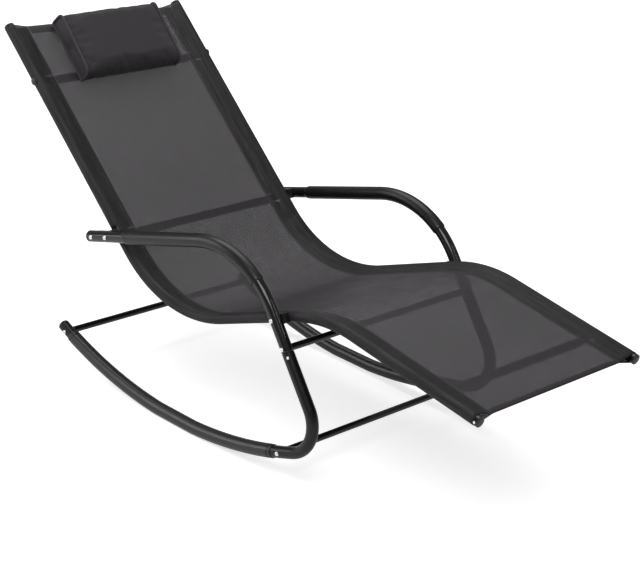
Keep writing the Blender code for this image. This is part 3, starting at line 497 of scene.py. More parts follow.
# Lighter cloth for the piping and the pillow's end panels: painted highlight along the piped rims and painted
# light on the ends
LIT_PIPING_AND_ENDS = pillow_material("lit_piping_and_end_cloth", (0.044, 0.0392, 0.044), (0.060, 0.0535, 0.060))
SEAM_THREAD = thread_material("seam_thread", (0.005, 0.0045, 0.005), (0.011, 0.010, 0.011))
THREAD = thread_material("stitch_thread", (0.026, 0.025, 0.027), (0.050, 0.048, 0.051))
WELT = thread_material("seam_welt", (0.026, 0.0235, 0.026), (0.048, 0.0435, 0.048))


# Mesh building

def linked(name, data):
    item = bpy.data.objects.new(name, data)
    scene.collection.objects.link(item)
    return item


def meshed(name, work):
    mesh = bpy.data.meshes.new(name)
    work.to_mesh(mesh)
    work.free()
    return linked(name, mesh)


def smoothed(mesh, angle=SHARP):
    mesh.shade_smooth()
    mesh.set_sharp_from_angle(angle=angle)


def piece(name, work, surface, body="chair", node=None):
    """Piece that rides on a body and may stand for a node."""
    bmesh.ops.recalc_face_normals(work, faces=work.faces)
    item = meshed(name, work)
    item.data.materials.append(surface)
    smoothed(item.data)
    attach(item, body)
    if node:
        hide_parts(node)
    return item


def loft(work, sections):
    """Skin through sections of points, closed at both ends."""
    rings = [[work.verts.new(point) for point in section] for section in sections]
    for before, after in zip(rings, rings[1:]):
        for i in range(len(before)):
            j = (i + 1) % len(before)
            work.faces.new((before[i], before[j], after[j], after[i]))
    work.faces.new(reversed(rings[0]))
    work.faces.new(rings[-1])


def lofted(name, sections, surface, body="chair", node=None, place=None):
    """Skinned piece; it stands for the node of its name without the last word, or for one that is given."""
    work = bmesh.new()
    loft(work, sections)
    if place:
        work.transform(place)
    return piece(name, work, surface, body, node or name.rpartition("_")[0])


def circle(steps=ROUND):
    """Cosine and sine of even turns."""
    turns = [tau * step / steps for step in range(steps)]
    return [(cos(turn), sin(turn)) for turn in turns]


def band(work, rows, places, surface=0, opened=None):
    """Quads between two rows, or triangles to a point; one place more than vertices closes the rows."""
    cloth = work.loops.layers.uv.verify()
    for k in range(len(places[0]) - 1):
        if opened and opened(k):
            continue
        corners = ((0, k), (0, k + 1), (1, k + 1), (1, k))
        face = work.faces.new(list(dict.fromkeys(rows[i][j % len(rows[i])] for i, j in corners)))
        face.material_index = surface
        for loop, (i, j) in zip(face.loops, corners):
            loop[cloth].uv = places[i][j]


def run(profile, start, end, radius):
    """Stations (distance, radius), one at each corner of the profile."""
    inner = [at for at in profile.running if start + 0.001 < at < end - 0.001]
    return [(at, radius) for at in (start, *inner, end)]


def swept(name, profile, x, stations, surface, node=None):
    """Round piece along a side profile."""
    sections = []
    for distance, radius in stations:
        (y, z), heading = profile.smooth_place(distance)
        up_y, up_z = -sin(heading), cos(heading)
        turns = [(side * radius, up * radius) for side, up in circle()]
        sections.append([(x + side, y + up_y * up, z + up_z * up) for side, up in turns])
    return lofted(name, sections, surface, node=node)


def set_along(point, way):
    """Puts the origin at a point and Z along a direction."""
    turn = Vector((0, 0, 1)).rotation_difference(way).to_matrix().to_4x4()
    return Matrix.Translation(point) @ turn


def spun(name, profile, point, way, surface, body="chair"):
    """Turned piece from (radius, height) rows; a third value is a row's number of corners."""
    sections = []
    for radius, height, *corners in profile:
        half = pi / (*corners, ROUND)[0]
        reach = [radius * cos(half) / cos(fmod(tau * i / ROUND, half * 2) - half) for i in range(ROUND)]
        sections.append([(wide * far, high * far, height) for (wide, high), far in zip(circle(), reach)])
    lofted(name, sections, surface, body, place=set_along(point, way))


def curve_through(points, steps):
    """Smooth curve through points."""
    line = []
    for i in range(len(points) - 1):
        before, start, end, after = (points[min(max(i + k, 0), len(points) - 1)] for k in (-1, 0, 1, 2))
        for step in range(steps):
            t = step / steps
            line.append(start + ((end - before) * t + (before * 2 - start * 5 + end * 4 - after) * t ** 2
                                 + (start * 3 - before - end * 3 + after) * t ** 3) / 2)
    return line + [points[-1]]


# Tubes

def mouth(end, depth, radius, lip):
    """Open end of a tube, from its bore to its lip."""
    bore = radius - TUBE_WALL
    return [(end + depth, bore), (end, bore), (end, radius - lip)]


def rails(side, x):
    """Back and seat pieces of one sling rail."""
    lip = TUBE_LIP
    back = mouth(0, PLUG_SPIGOT, RAIL_RADIUS, lip) + run(RAIL, lip, RAIL_SPLIT - lip, RAIL_RADIUS)
    swept(side + "_back_rail_tube", RAIL, x * RAIL_X, back + [(RAIL_SPLIT, RAIL_RADIUS - lip)], PAINT)
    start = RAIL_SPLIT + GAP
    neck = RAIL_RADIUS - TUBE_WALL - GAP
    seat = [(start, neck), (start + 0.001, neck)] + run(RAIL, start + 0.003, RAIL.total - lip, RAIL_RADIUS)
    seat += reversed(mouth(RAIL.total, -PLUG_SPIGOT, RAIL_RADIUS, lip))
    swept(side + "_seat_rail_tube", RAIL, x * RAIL_X, seat, PAINT)


def drilled(item, point, way, radius, depth):
    """Cuts a round hole into a piece."""
    work = bmesh.new()
    bmesh.ops.create_cone(work, cap_ends=True, segments=ROUND, radius1=radius, radius2=radius, depth=depth)
    work.transform(set_along(point, way))
    drill = meshed("drill", work)
    hole = item.modifiers.new("hole", "BOOLEAN")
    hole.operation = "DIFFERENCE"
    hole.solver = "EXACT"
    hole.object = drill
    bpy.context.view_layer.update()
    result = bpy.data.meshes.new_from_object(item.evaluated_get(bpy.context.evaluated_depsgraph_get()))
    item.modifiers.remove(hole)
    old, item.data = item.data, result
    smoothed(result)
    bpy.data.meshes.remove(old)
    bpy.data.meshes.remove(drill.data)


def snap_axis(x):
    """Middle of the leg at a spring button, and the way that points: sideways and to the front."""
    front = Vector((0, -sin(LEG_HEADING), cos(LEG_HEADING)))
    way = outward(x) * cos(SNAP_TURN) + front * sin(SNAP_TURN)
    return Vector((x * FRAME_X, *SNAP_POINT)), way


def frames(side, x):
    """Rocker tube and arm tube with its neck, and the snap button's hole through both."""
    lip = FRAME_LIP
    low = mouth(0, PLUG_SPIGOT, FRAME_RADIUS, lip) + run(FRAME, lip, JOINT - lip, FRAME_RADIUS)
    low += reversed(mouth(JOINT, -NECK_LENGTH - 0.004, FRAME_RADIUS, lip))
    rocker = swept(side + "_rocker_tube_bent", FRAME, x * FRAME_X, low, SATIN)
    joint = JOINT + GAP
    neck_end = JOINT - NECK_LENGTH + GAP
    high = [(joint + 0.03, NECK_BORE), (neck_end, NECK_BORE), (neck_end, NECK_RADIUS - lip / 2),
            (neck_end + lip, NECK_RADIUS), (joint, NECK_RADIUS), (joint + 0.001, NECK_RADIUS + 0.0009),
            (joint + 0.003, FRAME_RADIUS)]
    high += run(FRAME, joint + 0.005, FRAME.total - lip, FRAME_RADIUS)
    high += reversed(mouth(FRAME.total, -PLUG_SPIGOT, FRAME_RADIUS, lip))
    arm = swept(side + "_arm_tube_bent", FRAME, x * FRAME_X, high, PAINT)
    point, way = snap_axis(x)
    for item in (rocker, arm):
        drilled(item, point + way * FRAME_RADIUS, way, SNAP_RADIUS + GAP, FRAME_RADIUS)


def rocker_sleeve(side, x):
    """Plastic tread over the rocker, with a black ring at each end that paints the shade of the gap at the
    tread's ends.
    """
    node = side + "_rocker_sleeve"
    lip = FRAME_LIP
    start, end = SLEEVE_FROM_END, ROCKER_LENGTH - SLEEVE_FROM_FRONT
    rear, front = start + TREAD_SHADE_RING, end - TREAD_SHADE_RING
    inner = FRAME_RADIUS + GAP / 2
    outer = FRAME_RADIUS + GAP + SLEEVE_WALL
    tread = [(rear, inner), (rear, outer - lip)] + run(FRAME, rear + lip, front - lip, outer)
    tread += [(front, outer - lip), (front, inner)]
    swept(side + "_rocker_tread", FRAME, x * FRAME_X, tread, TREAD, node)
    # Black rings at the tread's ends: painted shade of the gap there
    for name, low, high in (("rear", start, rear - TREAD_GROOVE), ("front", front + TREAD_GROOVE, end)):
        ring = [(low, inner), (low, outer - lip * 2), (low + lip * 2, outer - lip / 2)]
        ring += run(FRAME, low + lip * 3, high - lip * 3, outer - lip / 2)
        ring += [(high - lip * 2, outer - lip / 2), (high, outer - lip * 2), (high, inner)]
        swept(f"{side}_tread_{name}_ring", FRAME, x * FRAME_X, ring, PLASTIC, node)


def arm_grip(side, x):
    """Foam grip with flared ends over the armrest."""
    end = ARM_BOLT_ON_FRAME - GRIP_AHEAD_OF_ARM_BOLT
    start = end - GRIP_LENGTH
    inner = FRAME_RADIUS + GAP / 2
    rise = GRIP_RADIUS - inner
    flare = [(0, 0), (0, 0.35), (0.0008, 0.55), (0.0022, 0.78), (0.0042, 0.93)]
    stations = [(start + along, inner + rise * share) for along, share in flare]
    stations += run(FRAME, start + 0.007, end - 0.007, GRIP_RADIUS)
    stations += [(end - along, inner + rise * share) for along, share in reversed(flare)]
    swept(side + "_arm_grip_foam", FRAME, x * FRAME_X, stations, FOAM)


# Bars across the chair

def bar_along(name, line, radius, end_radius, end_heading):
    """Round bar along points, with ends shaped to the tubes they meet."""
    along_tube = Vector((0, cos(end_heading), sin(end_heading)))
    sections = []
    for index, point in enumerate(line):
        before = line[max(index - 1, 0)]
        after = line[min(index + 1, len(line) - 1)]
        way = ((point - before).normalized() + (after - point).normalized()).normalized()
        square = along_tube.cross(way).normalized()
        section = []
        for wide, high in circle():
            offset = along_tube * wide * radius + square * high * radius
            if index in (0, len(line) - 1):
                dip = end_radius - sqrt(end_radius ** 2 - (high * radius) ** 2)
                offset += Vector((copysign(dip, point.x), 0, 0))
            section.append(point + offset)
        sections.append(section)
    lofted(name + "_tube", sections, PAINT)


def crossbar(name, distance):
    """Straight bar between the rocker frames."""
    point, heading = FRAME.place(distance)
    end = FRAME_X - FRAME_RADIUS - GAP
    line = [Vector((end * share, *point)) for share in (-1, -0.96, -0.5, 0, 0.5, 0.96, 1)]
    bar_along(name, line, CROSSBAR_RADIUS, FRAME_RADIUS, heading)


def sling_bar(name, distance):
    """Bar behind the sling, set down between the rails to clear the sheet."""
    point, heading = RAIL.place(distance)
    fall = SLING_BAR_DROP / (SLING_SEAM - SLING_BAR_STRAIGHT)
    bend = SLING_BAR_BEND

    def drop_at(inset):
        """Depth of the bar's axis, rounded where its slope ends."""
        past = inset - SLING_SEAM
        if past <= -bend:
            return (inset - SLING_BAR_STRAIGHT) * fall
        return SLING_BAR_DROP - fall * max(bend - past, 0) ** 2 / (4 * bend)

    first = RAIL_RADIUS + GAP
    insets = [first, first + 0.001, 0.022, 0.033, SLING_SEAM - bend]
    insets += [SLING_SEAM + bend * share for share in (-0.6, -0.2, 0.2, 0.6, 1)] + [0.11, 0.19]
    half = [(RAIL_X - inset, drop_at(inset)) for inset in insets]
    full = [(-x, drop) for x, drop in half] + [(0, SLING_BAR_DROP)] + half[::-1]
    line = [Vector((x, *ahead(point, heading + pi / 2, drop))) for x, drop in full]
    bar_along(name, line, SLING_BAR_RADIUS, RAIL_RADIUS, heading)


# Fasteners

def outward(x):
    return Vector((x, 0, 0))


def bolt_profile(length):
    """Button-head bolt with a hexagon socket, seated at zero."""
    top = HEAD_HEIGHT
    floor = top - SOCKET_DEPTH
    socket = [(SOCKET_RADIUS * 0.2, floor - 0.0004), (SOCKET_RADIUS, floor, 6),
              (SOCKET_RADIUS, top - 0.0003, 6), (SOCKET_RADIUS * 1.14, top)]
    dome = [(0.62, 1), (0.8, 0.86), (0.92, 0.62), (1, 0.3), (1, 0.06), (0.97, 0)]
    head = [(HEAD_RADIUS * wide, top * high) for wide, high in dome]
    shank = [(SHANK_RADIUS, 0), (SHANK_RADIUS, 0.0005 - length), (SHANK_RADIUS * 0.8, -length)]
    return socket + head + shank


def cap_profile(length):
    """Bolt under a smooth domed cap."""
    dome = [(0.1, 1), (0.32, 0.96), (0.55, 0.87), (0.75, 0.72), (0.9, 0.5), (1, 0.22), (1, 0.03),
            (0.97, 0)]
    cap = [(CAP_RADIUS * wide, CAP_HEIGHT * high) for wide, high in dome]
    return cap + [(SHANK_RADIUS, 0), (SHANK_RADIUS, -length)]


def fasteners(side, x):
    """Bolts and cap of one side."""
    frame_seat = FRAME_X + FRAME_RADIUS + GAP
    rail_seat = RAIL_X + RAIL_RADIUS + GAP
    into_sling_bar = RAIL_X - RAIL_RADIUS - THREAD_DEPTH
    into_crossbar = FRAME_X - FRAME_RADIUS - THREAD_DEPTH
    past_arm_nut = FRAME_X - FRAME_RADIUS - TONGUE_THICKNESS - GAP - NUT_HEIGHT - SHANK_RADIUS / 3
    past_seat_nut = RAIL_X - RAIL_RADIUS - GAP - NUT_HEIGHT - SHANK_RADIUS / 3
    bolts = [("arm_bolt_front", ARM_BOLT, into_sling_bar), ("arm_bolt_rear", ARM_REAR_BOLT, past_arm_nut),
             ("seat_bolt", LEG_BOLT, past_seat_nut)]
    bolts += [(bar + "_bar_bolt", FRAME.place(at)[0], into_crossbar) for bar, at in CROSSBARS.items()]
    for name, point, end in bolts:
        seat = Vector((x * frame_seat, *point))
        spun(f"{side}_{name}_turned", bolt_profile(frame_seat - end), seat, outward(x), ZINC)
    seat = Vector((x * rail_seat, *RAIL.place(UPPER_BAR_FROM_TOP)[0]))
    spun(side + "_upper_bar_cap_domed", cap_profile(rail_seat - into_sling_bar), seat, outward(x), PLASTIC)


def snap_button(side, x):
    """Round-nosed spring button with a flange inside the neck."""
    top = FRAME_RADIUS + SNAP_PROUD
    nose = [(0.08, 0), (0.35, 0.08), (0.62, 0.26), (0.82, 0.5), (0.95, 0.78), (1, 1)]
    profile = [(SNAP_RADIUS * share, top - SNAP_PROUD * 0.8 * drop) for share, drop in nose]
    profile += [(SNAP_RADIUS, SNAP_SEAT), (SNAP_FLANGE_RADIUS, SNAP_SEAT)]
    profile += [(SNAP_FLANGE_RADIUS, SNAP_SEAT - SNAP_FLANGE)]
    spun(side + "_snap_button_turned", profile, *snap_axis(x), ZINC, side + "_button")


def snap_spring(side, x):
    """Bent leaf behind the button, which flattens when that is pressed."""
    top = SNAP_SEAT - SNAP_FLANGE - GAP - SPRING_THICKNESS / 2
    floor = -(NECK_BORE - 0.0018)
    half = SPRING_WIDTH / 2
    knots = [(-half, top), (half, top), (half + 0.003, top - 0.002), (half + 0.011, floor + 0.007),
             (half + 0.012, floor + 0.003), (half + 0.009, floor + 0.0006), (half + 0.006, floor),
             (-half, floor)]
    line = curve_through([Vector((along, height, 0)) for along, height in knots], 6)
    origin, way = snap_axis(x)
    down = -Vector((0, cos(LEG_HEADING), sin(LEG_HEADING)))
    across_leaf = down.cross(way)
    sections = []
    for index, point in enumerate(line):
        ahead_way = (line[min(index + 1, len(line) - 1)] - line[max(index - 1, 0)]).normalized()
        out = Vector((-ahead_way.y, ahead_way.x, 0)) * SPRING_THICKNESS / 2
        corners = ((point + out, -half), (point + out, half), (point - out, half), (point - out, -half))
        sections.append([origin + down * flat.x + way * flat.y + across_leaf * wide
                         for flat, wide in corners])
    leaf = lofted(side + "_snap_leaf", sections, ZINC, node=side + "_snap_spring")
    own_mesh(leaf)


# End plugs

def plug(name, profile, distance, x, radius, dome):
    point, heading = profile.place(distance)
    way = Vector((0, cos(heading), sin(heading))) * (1 if distance else -1)
    top = PLUG_FLANGE + dome
    bore = radius - TUBE_WALL - GAP
    rounds = [(0.06, 0), (0.3, 0.05), (0.55, 0.17), (0.75, 0.37), (0.9, 0.64), (0.98, 0.9), (1, 1)]
    rows = [(radius * share, top - dome * drop) for share, drop in rounds]
    rows += [(radius, GAP * 2), (radius - GAP, GAP), (bore, GAP), (bore * 0.96, -PLUG_SPIGOT * 0.9)]
    spun(name + "_plug_round", rows, Vector((x, *point)), way, PLASTIC)


def plugs(side, x):
    """End plugs of one side, and the screw in the foot plug."""
    for name, distance in (("_head", 0), ("_foot", RAIL.total)):
        plug(side + name, RAIL, distance, x * RAIL_X, RAIL_RADIUS, PLUG_DOME)
    for name, distance in (("_arm", FRAME.total), ("_rocker", 0)):
        plug(side + name, FRAME, distance, x * FRAME_X, FRAME_RADIUS, FRAME_PLUG_DOME)
    seat = Vector((x * (RAIL_X + RAIL_RADIUS + GAP), *FOOT_SCREW))
    head = SCREW_HEAD_RADIUS * 0.6
    rows = [(0.0002, head * 0.55), (0.0009, head * 0.6, 4), (0.0010, head * 0.97, 4), (0.0013, head),
            (SCREW_HEAD_RADIUS * 0.7, head * 0.86), (SCREW_HEAD_RADIUS * 0.92, head * 0.5),
            (SCREW_HEAD_RADIUS, 0), (SCREW_RADIUS, 0), (SCREW_RADIUS, -RAIL_RADIUS * 0.7)]
    spun(side + "_foot_screw_turned", rows, seat, outward(x), ZINC)


# Sling: a sheet level with the rails' middle, whose edges wrap the rails and come back to a seam under it

def sling_edge():
    """Columns (x, level, angle round the rail) of the +X edge, from under the panel to the seam."""
    below, above = -2, 2
    shares = spaced(0, 1, SLEEVE_STEPS)
    columns = [(SEAM_X - SEAM_ALLOWANCE, -UNDER, below), (SEAM_X, -UNDER, below)]
    for share in shares[1:-1]:
        columns.append((SEAM_X + (TANGENT_X - SEAM_X) * share, -UNDER + (UNDER - SLEEVE_RISE) * share, below))
    for angle in spaced(-TANGENT, TANGENT, WRAP_STEPS):
        columns.append((RAIL_X + WRAP_RADIUS * cos(angle), WRAP_RADIUS * sin(angle), angle))
    for share in shares[1:]:
        columns.append((TANGENT_X + (SEAM_X - TANGENT_X) * share, SLEEVE_RISE * (1 - share), above))
    return columns


def puckered(x, distance):
    """Lift of the sleeves' loose cloth, most in the lumbar bend."""
    share = (RAIL_X - abs(x)) / SLING_SEAM
    if not 0 < share < 1:
        return 0
    start, end = RAIL.running[1], RAIL.running[1 + LUMBAR_STEPS]
    inside = min(max((distance - start + 0.05) / 0.1, 0), max((end + 0.05 - distance) / 0.1, 0), 1)
    height = PUCKER + (LUMBAR_PUCKER - PUCKER) * inside
    wave = noise.noise(Vector((distance * 62, x * 18, 3)))
    wave += 0.5 * noise.noise(Vector((distance * 21, x, 9)))
    return height * wave * sin(pi * share)


def on_sling(x, distance, level):
    """Point on the sling, whose head edge dips between the rails."""
    if level != 0:
        level += puckered(x, distance)
    if distance < DIP_REACH and abs(x) < RAIL_X:
        fade = 1 - (distance - SLING_BARE_HEAD) / (DIP_REACH - SLING_BARE_HEAD)
        distance += HEAD_DIP * (1 - (x / RAIL_X) ** 2) * fade
    (y, z), heading = RAIL.smooth_place(distance, 0.004)
    return Vector((x, y + sin(heading) * level, z - cos(heading) * level))


def cloth_piece(name, point_at, columns, rows, surface, body="chair", node=None, thickness=VISIBLE_THICKNESS,
                across=None, opened=None):
    """Thin cloth on a grid of columns and rows; opened cells are left out."""
    work = bmesh.new()
    work.loops.layers.uv.new("cloth")
    grid = [[work.verts.new(point_at(column, row)) for column in columns] for row in rows]
    places = [[(wide, row) for wide in across or columns] for row in rows]
    for r in range(len(rows) - 1):
        band(work, grid[r:r + 2], places[r:r + 2], opened=opened and opened(r))
    loose = [vert for vert in work.verts if not vert.link_faces]
    bmesh.ops.delete(work, geom=loose, context="VERTS")
    item = piece(name, work, surface, body, node)
    shell = item.modifiers.new("cloth", "SOLIDIFY")
    shell.thickness = thickness
    shell.offset = 0
    shell.use_even_offset = True
    return item


def sling():
    """The sheet, with windows for what crosses its sleeves, and its flat size."""
    notch = SLING_BAR_RADIUS + NOTCH_MARGIN
    # Windows as (distance, half length, first and last angle round the rail)
    windows = [(at, notch, -pi, -pi / 2) for at in SLING_BARS.values()]
    windows += [(UPPER_BAR_FROM_TOP, 0.0078, -0.55, 0.55), (ARM_BOLT_ON_RAIL, 0.0165, -0.95, 0.95),
                (LEG_BOLT_ON_RAIL, 0.0138, -0.85, 0.85)]
    edge = sling_edge()
    panel = [(x, 0, edge[-1][2]) for x in spaced(SEAM_X, -SEAM_X, PANEL_STEPS)[1:-1]]
    columns = edge + panel + [(-x, level, angle) for x, level, angle in reversed(edge)]
    marks = [at + sign * half for at, half, _, _ in windows for sign in (-1, 1)]
    fixed = sorted({SLING_BARE_HEAD, SLING_END, *marks})
    rows = []
    for low, high in zip(fixed, fixed[1:]):
        rows += spaced(low, high, max(1, round((high - low) / ROW_STEP)))[:-1]
    rows.append(SLING_END)

    def opened(row):
        middle = (rows[row] + rows[row + 1]) / 2
        near = [(low * 2, high * 2) for at, half, low, high in windows if abs(middle - at) < half]
        return lambda k: any(low < columns[k][2] + columns[k + 1][2] < high for low, high in near)

    running = lengths([column[:2] for column in columns])
    across = [length - running[-1] / 2 for length in running]
    item = cloth_piece("sling_sheet", lambda column, at: on_sling(column[0], at, column[1]), columns, rows,
                       SLING, node="sling", across=across, opened=opened)
    return item, (running[-1], rows[-1] - rows[0])


def hems():
    """Folded-under ends of the sheet."""
    inset = 0.0005
    reach = SEAM_X - SEAM_ALLOWANCE - inset * 2
    made = []
    for name, low, high in (("head", SLING_BARE_HEAD + inset, SLING_BARE_HEAD + HEAD_HEM),
                            ("foot", SLING_END - FOOT_HEM, SLING_END - inset)):
        made.append(cloth_piece(f"sling_{name}_hem", lambda x, at: on_sling(x, at, -UNDER),
                                spaced(-reach, reach, PANEL_STEPS), spaced(low, high, 4), SLING))
    return made


def stitches(name, point_at, start, end, body="chair", pitch=STITCH_PITCH, surface=THREAD, thick=0.00045):
    """Row of raised stitches; point_at gives the place and the way out at a distance."""
    work = bmesh.new()
    long = pitch * 0.34
    for index in range(int((end - start) / pitch)):
        middle = start + pitch * (index + 0.5)
        sections = []
        for share, swell in ((-1, 0.45), (-0.6, 1), (0.6, 1), (1, 0.45)):
            point, up = point_at(middle + long * share)
            way = (point_at(middle + long * share + 0.0005)[0] - point).normalized()
            side = way.cross(up).normalized()
            lift = up * thick * (0.5 if abs(share) < 0.9 else 0)
            sections.append([point + lift + (side * wide + up * high) * thick * swell
                             for wide, high in circle(6)])
        loft(work, sections)
    return piece(name, work, surface, body)


def seam_welt(side, x):
    """Raised edge of the sleeve along the seam."""
    columns = spaced(SEAM_X - WELT_HALF, SEAM_X + WELT_HALF, 8)
    rows = spaced(SLING_BARE_HEAD + 0.001, SLING_END - 0.001, 300)

    def on_welt(at_x, distance):
        arch = 1 - ((at_x - SEAM_X) / WELT_HALF) ** 2
        return on_sling(at_x * x, distance, 0.0003 + 0.0007 * arch)

    return cloth_piece(side + "_seam_welt", on_welt, columns, rows, WELT)


def seam_stitches():
    """Welt and two rows of stitches along each side seam, and one row along each hem."""
    def raised(x, distance, level):
        point = on_sling(x, distance, level)
        return point, (on_sling(x, distance, level + 0.01) - point).normalized()

    made = [seam_welt(side, x) for side, x in SIDES]
    top = VISIBLE_THICKNESS / 2
    from_end, from_hem = 0.006, 0.003
    for side, x in SIDES:
        for row, outset in (("outer", 0.0075), ("inner", 0.0022)):
            level = SLEEVE_RISE * outset / (TANGENT_X - SEAM_X) + top
            made.append(stitches(f"{side}_{row}_seam_stitches",
                                 lambda at: raised(x * (SEAM_X + outset), at, level),
                                 SLING_BARE_HEAD + from_end, SLING_END - from_end))
    for name, row in (("head", SLING_BARE_HEAD + HEAD_HEM - from_hem),
                      ("foot", SLING_END - FOOT_HEM + from_hem)):
        made.append(stitches(name + "_hem_stitches", lambda at_x: raised(at_x, row, top), -SEAM_X, SEAM_X))
    return made


# Head pillow: a panel wrapped round its filling and closed by two flat end panels with piped seams

def on_back(x, distance, level):
    """Point over the straight back."""
    y, z = ahead(ahead(RAIL.points[0], BACK_HEADING, distance), BACK_HEADING - pi / 2, level)
    return Vector((x, y, z))


def section_outline(corners, spacing):
    """Even steps (along, level) round a closed outline with rounded corners."""
    line = []
    for i, (along, level, radius) in enumerate(corners):
        corner = Vector((along, level))
        before = (Vector(corners[i - 1][:2]) - corner).normalized()
        after = (Vector(corners[(i + 1) % len(corners)][:2]) - corner).normalized()
        half = before.angle(after) / 2
        centre = corner + (before + after).normalized() * radius / sin(half)
        start = corner + before * radius / tan(half) - centre
        end = corner + after * radius / tan(half) - centre
        first = atan2(start.y, start.x)
        sweep = remainder(atan2(end.y, end.x) - first, tau)
        line += [ahead(tuple(centre), first + sweep * step / 10, radius) for step in range(11)]
    outline = Line(line + [line[0]])
    count = round(outline.total / spacing)
    return [outline.place(outline.total * i / count)[0] for i in range(count)]


def pillow_point(share, along, level):
    """Point of the pillow's skin, with a share from -1 to 1 across it."""
    bulge = 1 - share ** 2
    low = along / PILLOW_LENGTH + 0.5
    half = PILLOW_HALF_TOP + (PILLOW_HALF_LOW - PILLOW_HALF_TOP) * low
    rise = PILLOW_BACK + (level - PILLOW_BACK) * (1 + PILLOW_CROWN * bulge)
    distance = PILLOW_FROM_TOP + along * (1 + PILLOW_STRETCH * bulge)
    return on_back(share * half + PILLOW_SKEW * (1 - low), distance, rise)


def pillow_skin(section):
    """Mesh of the pillow with creased end seams, and the vertices of each column."""
    work = bmesh.new()
    work.loops.layers.uv.new("cloth")
    shares = spaced(-1, 1, PILLOW_COLUMNS)
    columns = [[work.verts.new(pillow_point(share, *point)) for point in section] for share in shares]
    wrapped = [[(share * PILLOW_HALF_LOW, k * PILLOW_STEP) for k in range(len(section) + 1)]
               for share in shares]
    for i in range(PILLOW_COLUMNS):
        band(work, columns[i:i + 2], wrapped[i:i + 2])
    middle = Vector((0, 0.022))
    crease = work.edges.layers.float.new("crease_edge")
    for share, seam in ((-1, columns[0]), (1, columns[-1])):
        outer, outer_flat = seam, section + section[:1]
        for shrink in (0.86, 0.62, 0.36, 0.14, 0):
            flat = [middle + (Vector(point) - middle) * shrink for point in section + section[:1]]
            ring = flat[:-1] if shrink else [middle]
            inner = [work.verts.new(pillow_point(share, *point)) for point in ring]
            # End panels take the second slot, the lighter cloth: painted light on the ends
            band(work, (outer, inner), (outer_flat, flat), 1)
            outer, outer_flat = inner, flat
        for before, after in zip(seam, seam[1:] + seam[:1]):
            work.edges.get((before, after))[crease] = 1
    work.verts.index_update()
    return work, [[vert.index for vert in column] for column in columns]


FILLING = {"quality": 6, "mass": 0.3, "tension_stiffness": 18, "compression_stiffness": 18,
           "shear_stiffness": 6, "bending_stiffness": 0.6, "use_pressure": True,
           "uniform_pressure_force": 4, "shrink_min": -0.015}
FILLING_FRAMES = 20
CREASE_CELLS = 40
CREASE_DEPTH = 0.0003


def filled(item, pinned):
    """Swells a skin by a short cloth simulation under pressure, with points held and moves capped."""
    group = item.vertex_groups.new(name="pinned")
    group.add(pinned, 1, "REPLACE")
    before = [vert.co.copy() for vert in item.data.vertices]
    for vert in item.data.vertices:
        places = [vert.co * CREASE_CELLS + Vector(shift) for shift in ((0, 0, 0), (7, 0, 0), (0, 7, 0))]
        vert.co += Vector([noise.noise(place) for place in places]) * CREASE_DEPTH
    swell = item.modifiers.new("filling", "CLOTH")
    for setting, value in FILLING.items():
        setattr(swell.settings, setting, value)
    swell.settings.vertex_group_mass = group.name
    swell.settings.effector_weights.gravity = 0
    swell.collision_settings.use_collision = False
    swell.point_cache.frame_start = 1
    swell.point_cache.frame_end = FILLING_FRAMES
    for moment in range(1, FILLING_FRAMES + 1):
        scene.frame_set(moment)
    shape = item.evaluated_get(bpy.context.evaluated_depsgraph_get()).to_mesh()
    after = [vert.co.copy() for vert in shape.vertices]
    item.modifiers.remove(swell)
    scene.frame_set(1)
    held = set(pinned)
    for index, vert in enumerate(item.data.vertices):
        move = after[index] - before[index]
        if move.length > PILLOW_CAP:
            move = move.normalized() * PILLOW_CAP
        vert.co = before[index] if index in held else before[index] + move
    item.vertex_groups.remove(group)


def piping(name, points):
    """Corded edge along a closed seam, in the lighter cloth that paints its highlight."""
    work = bmesh.new()
    rings = []
    for index, point in enumerate(points):
        way = (points[(index + 1) % len(points)] - points[index - 1]).normalized()
        side = way.cross(Vector((1, 0, 0))).normalized()
        out = side.cross(way)
        rings.append([work.verts.new(point + (side * wide + out * high) * PIPING_RADIUS)
                      for wide, high in circle(PIPING_SIDES)])
    work.loops.layers.uv.new("cloth")
    for i, ring in enumerate(rings):
        places = [[(k * PIPING_SIDE, at * PILLOW_STEP) for k in range(PIPING_SIDES + 1)] for at in (i, i + 1)]
        band(work, (ring, rings[(i + 1) % len(rings)]), places)
    item = piece(name, work, LIT_PIPING_AND_ENDS, "pillow")
    item.modifiers.new("round", "SUBSURF").levels = 1


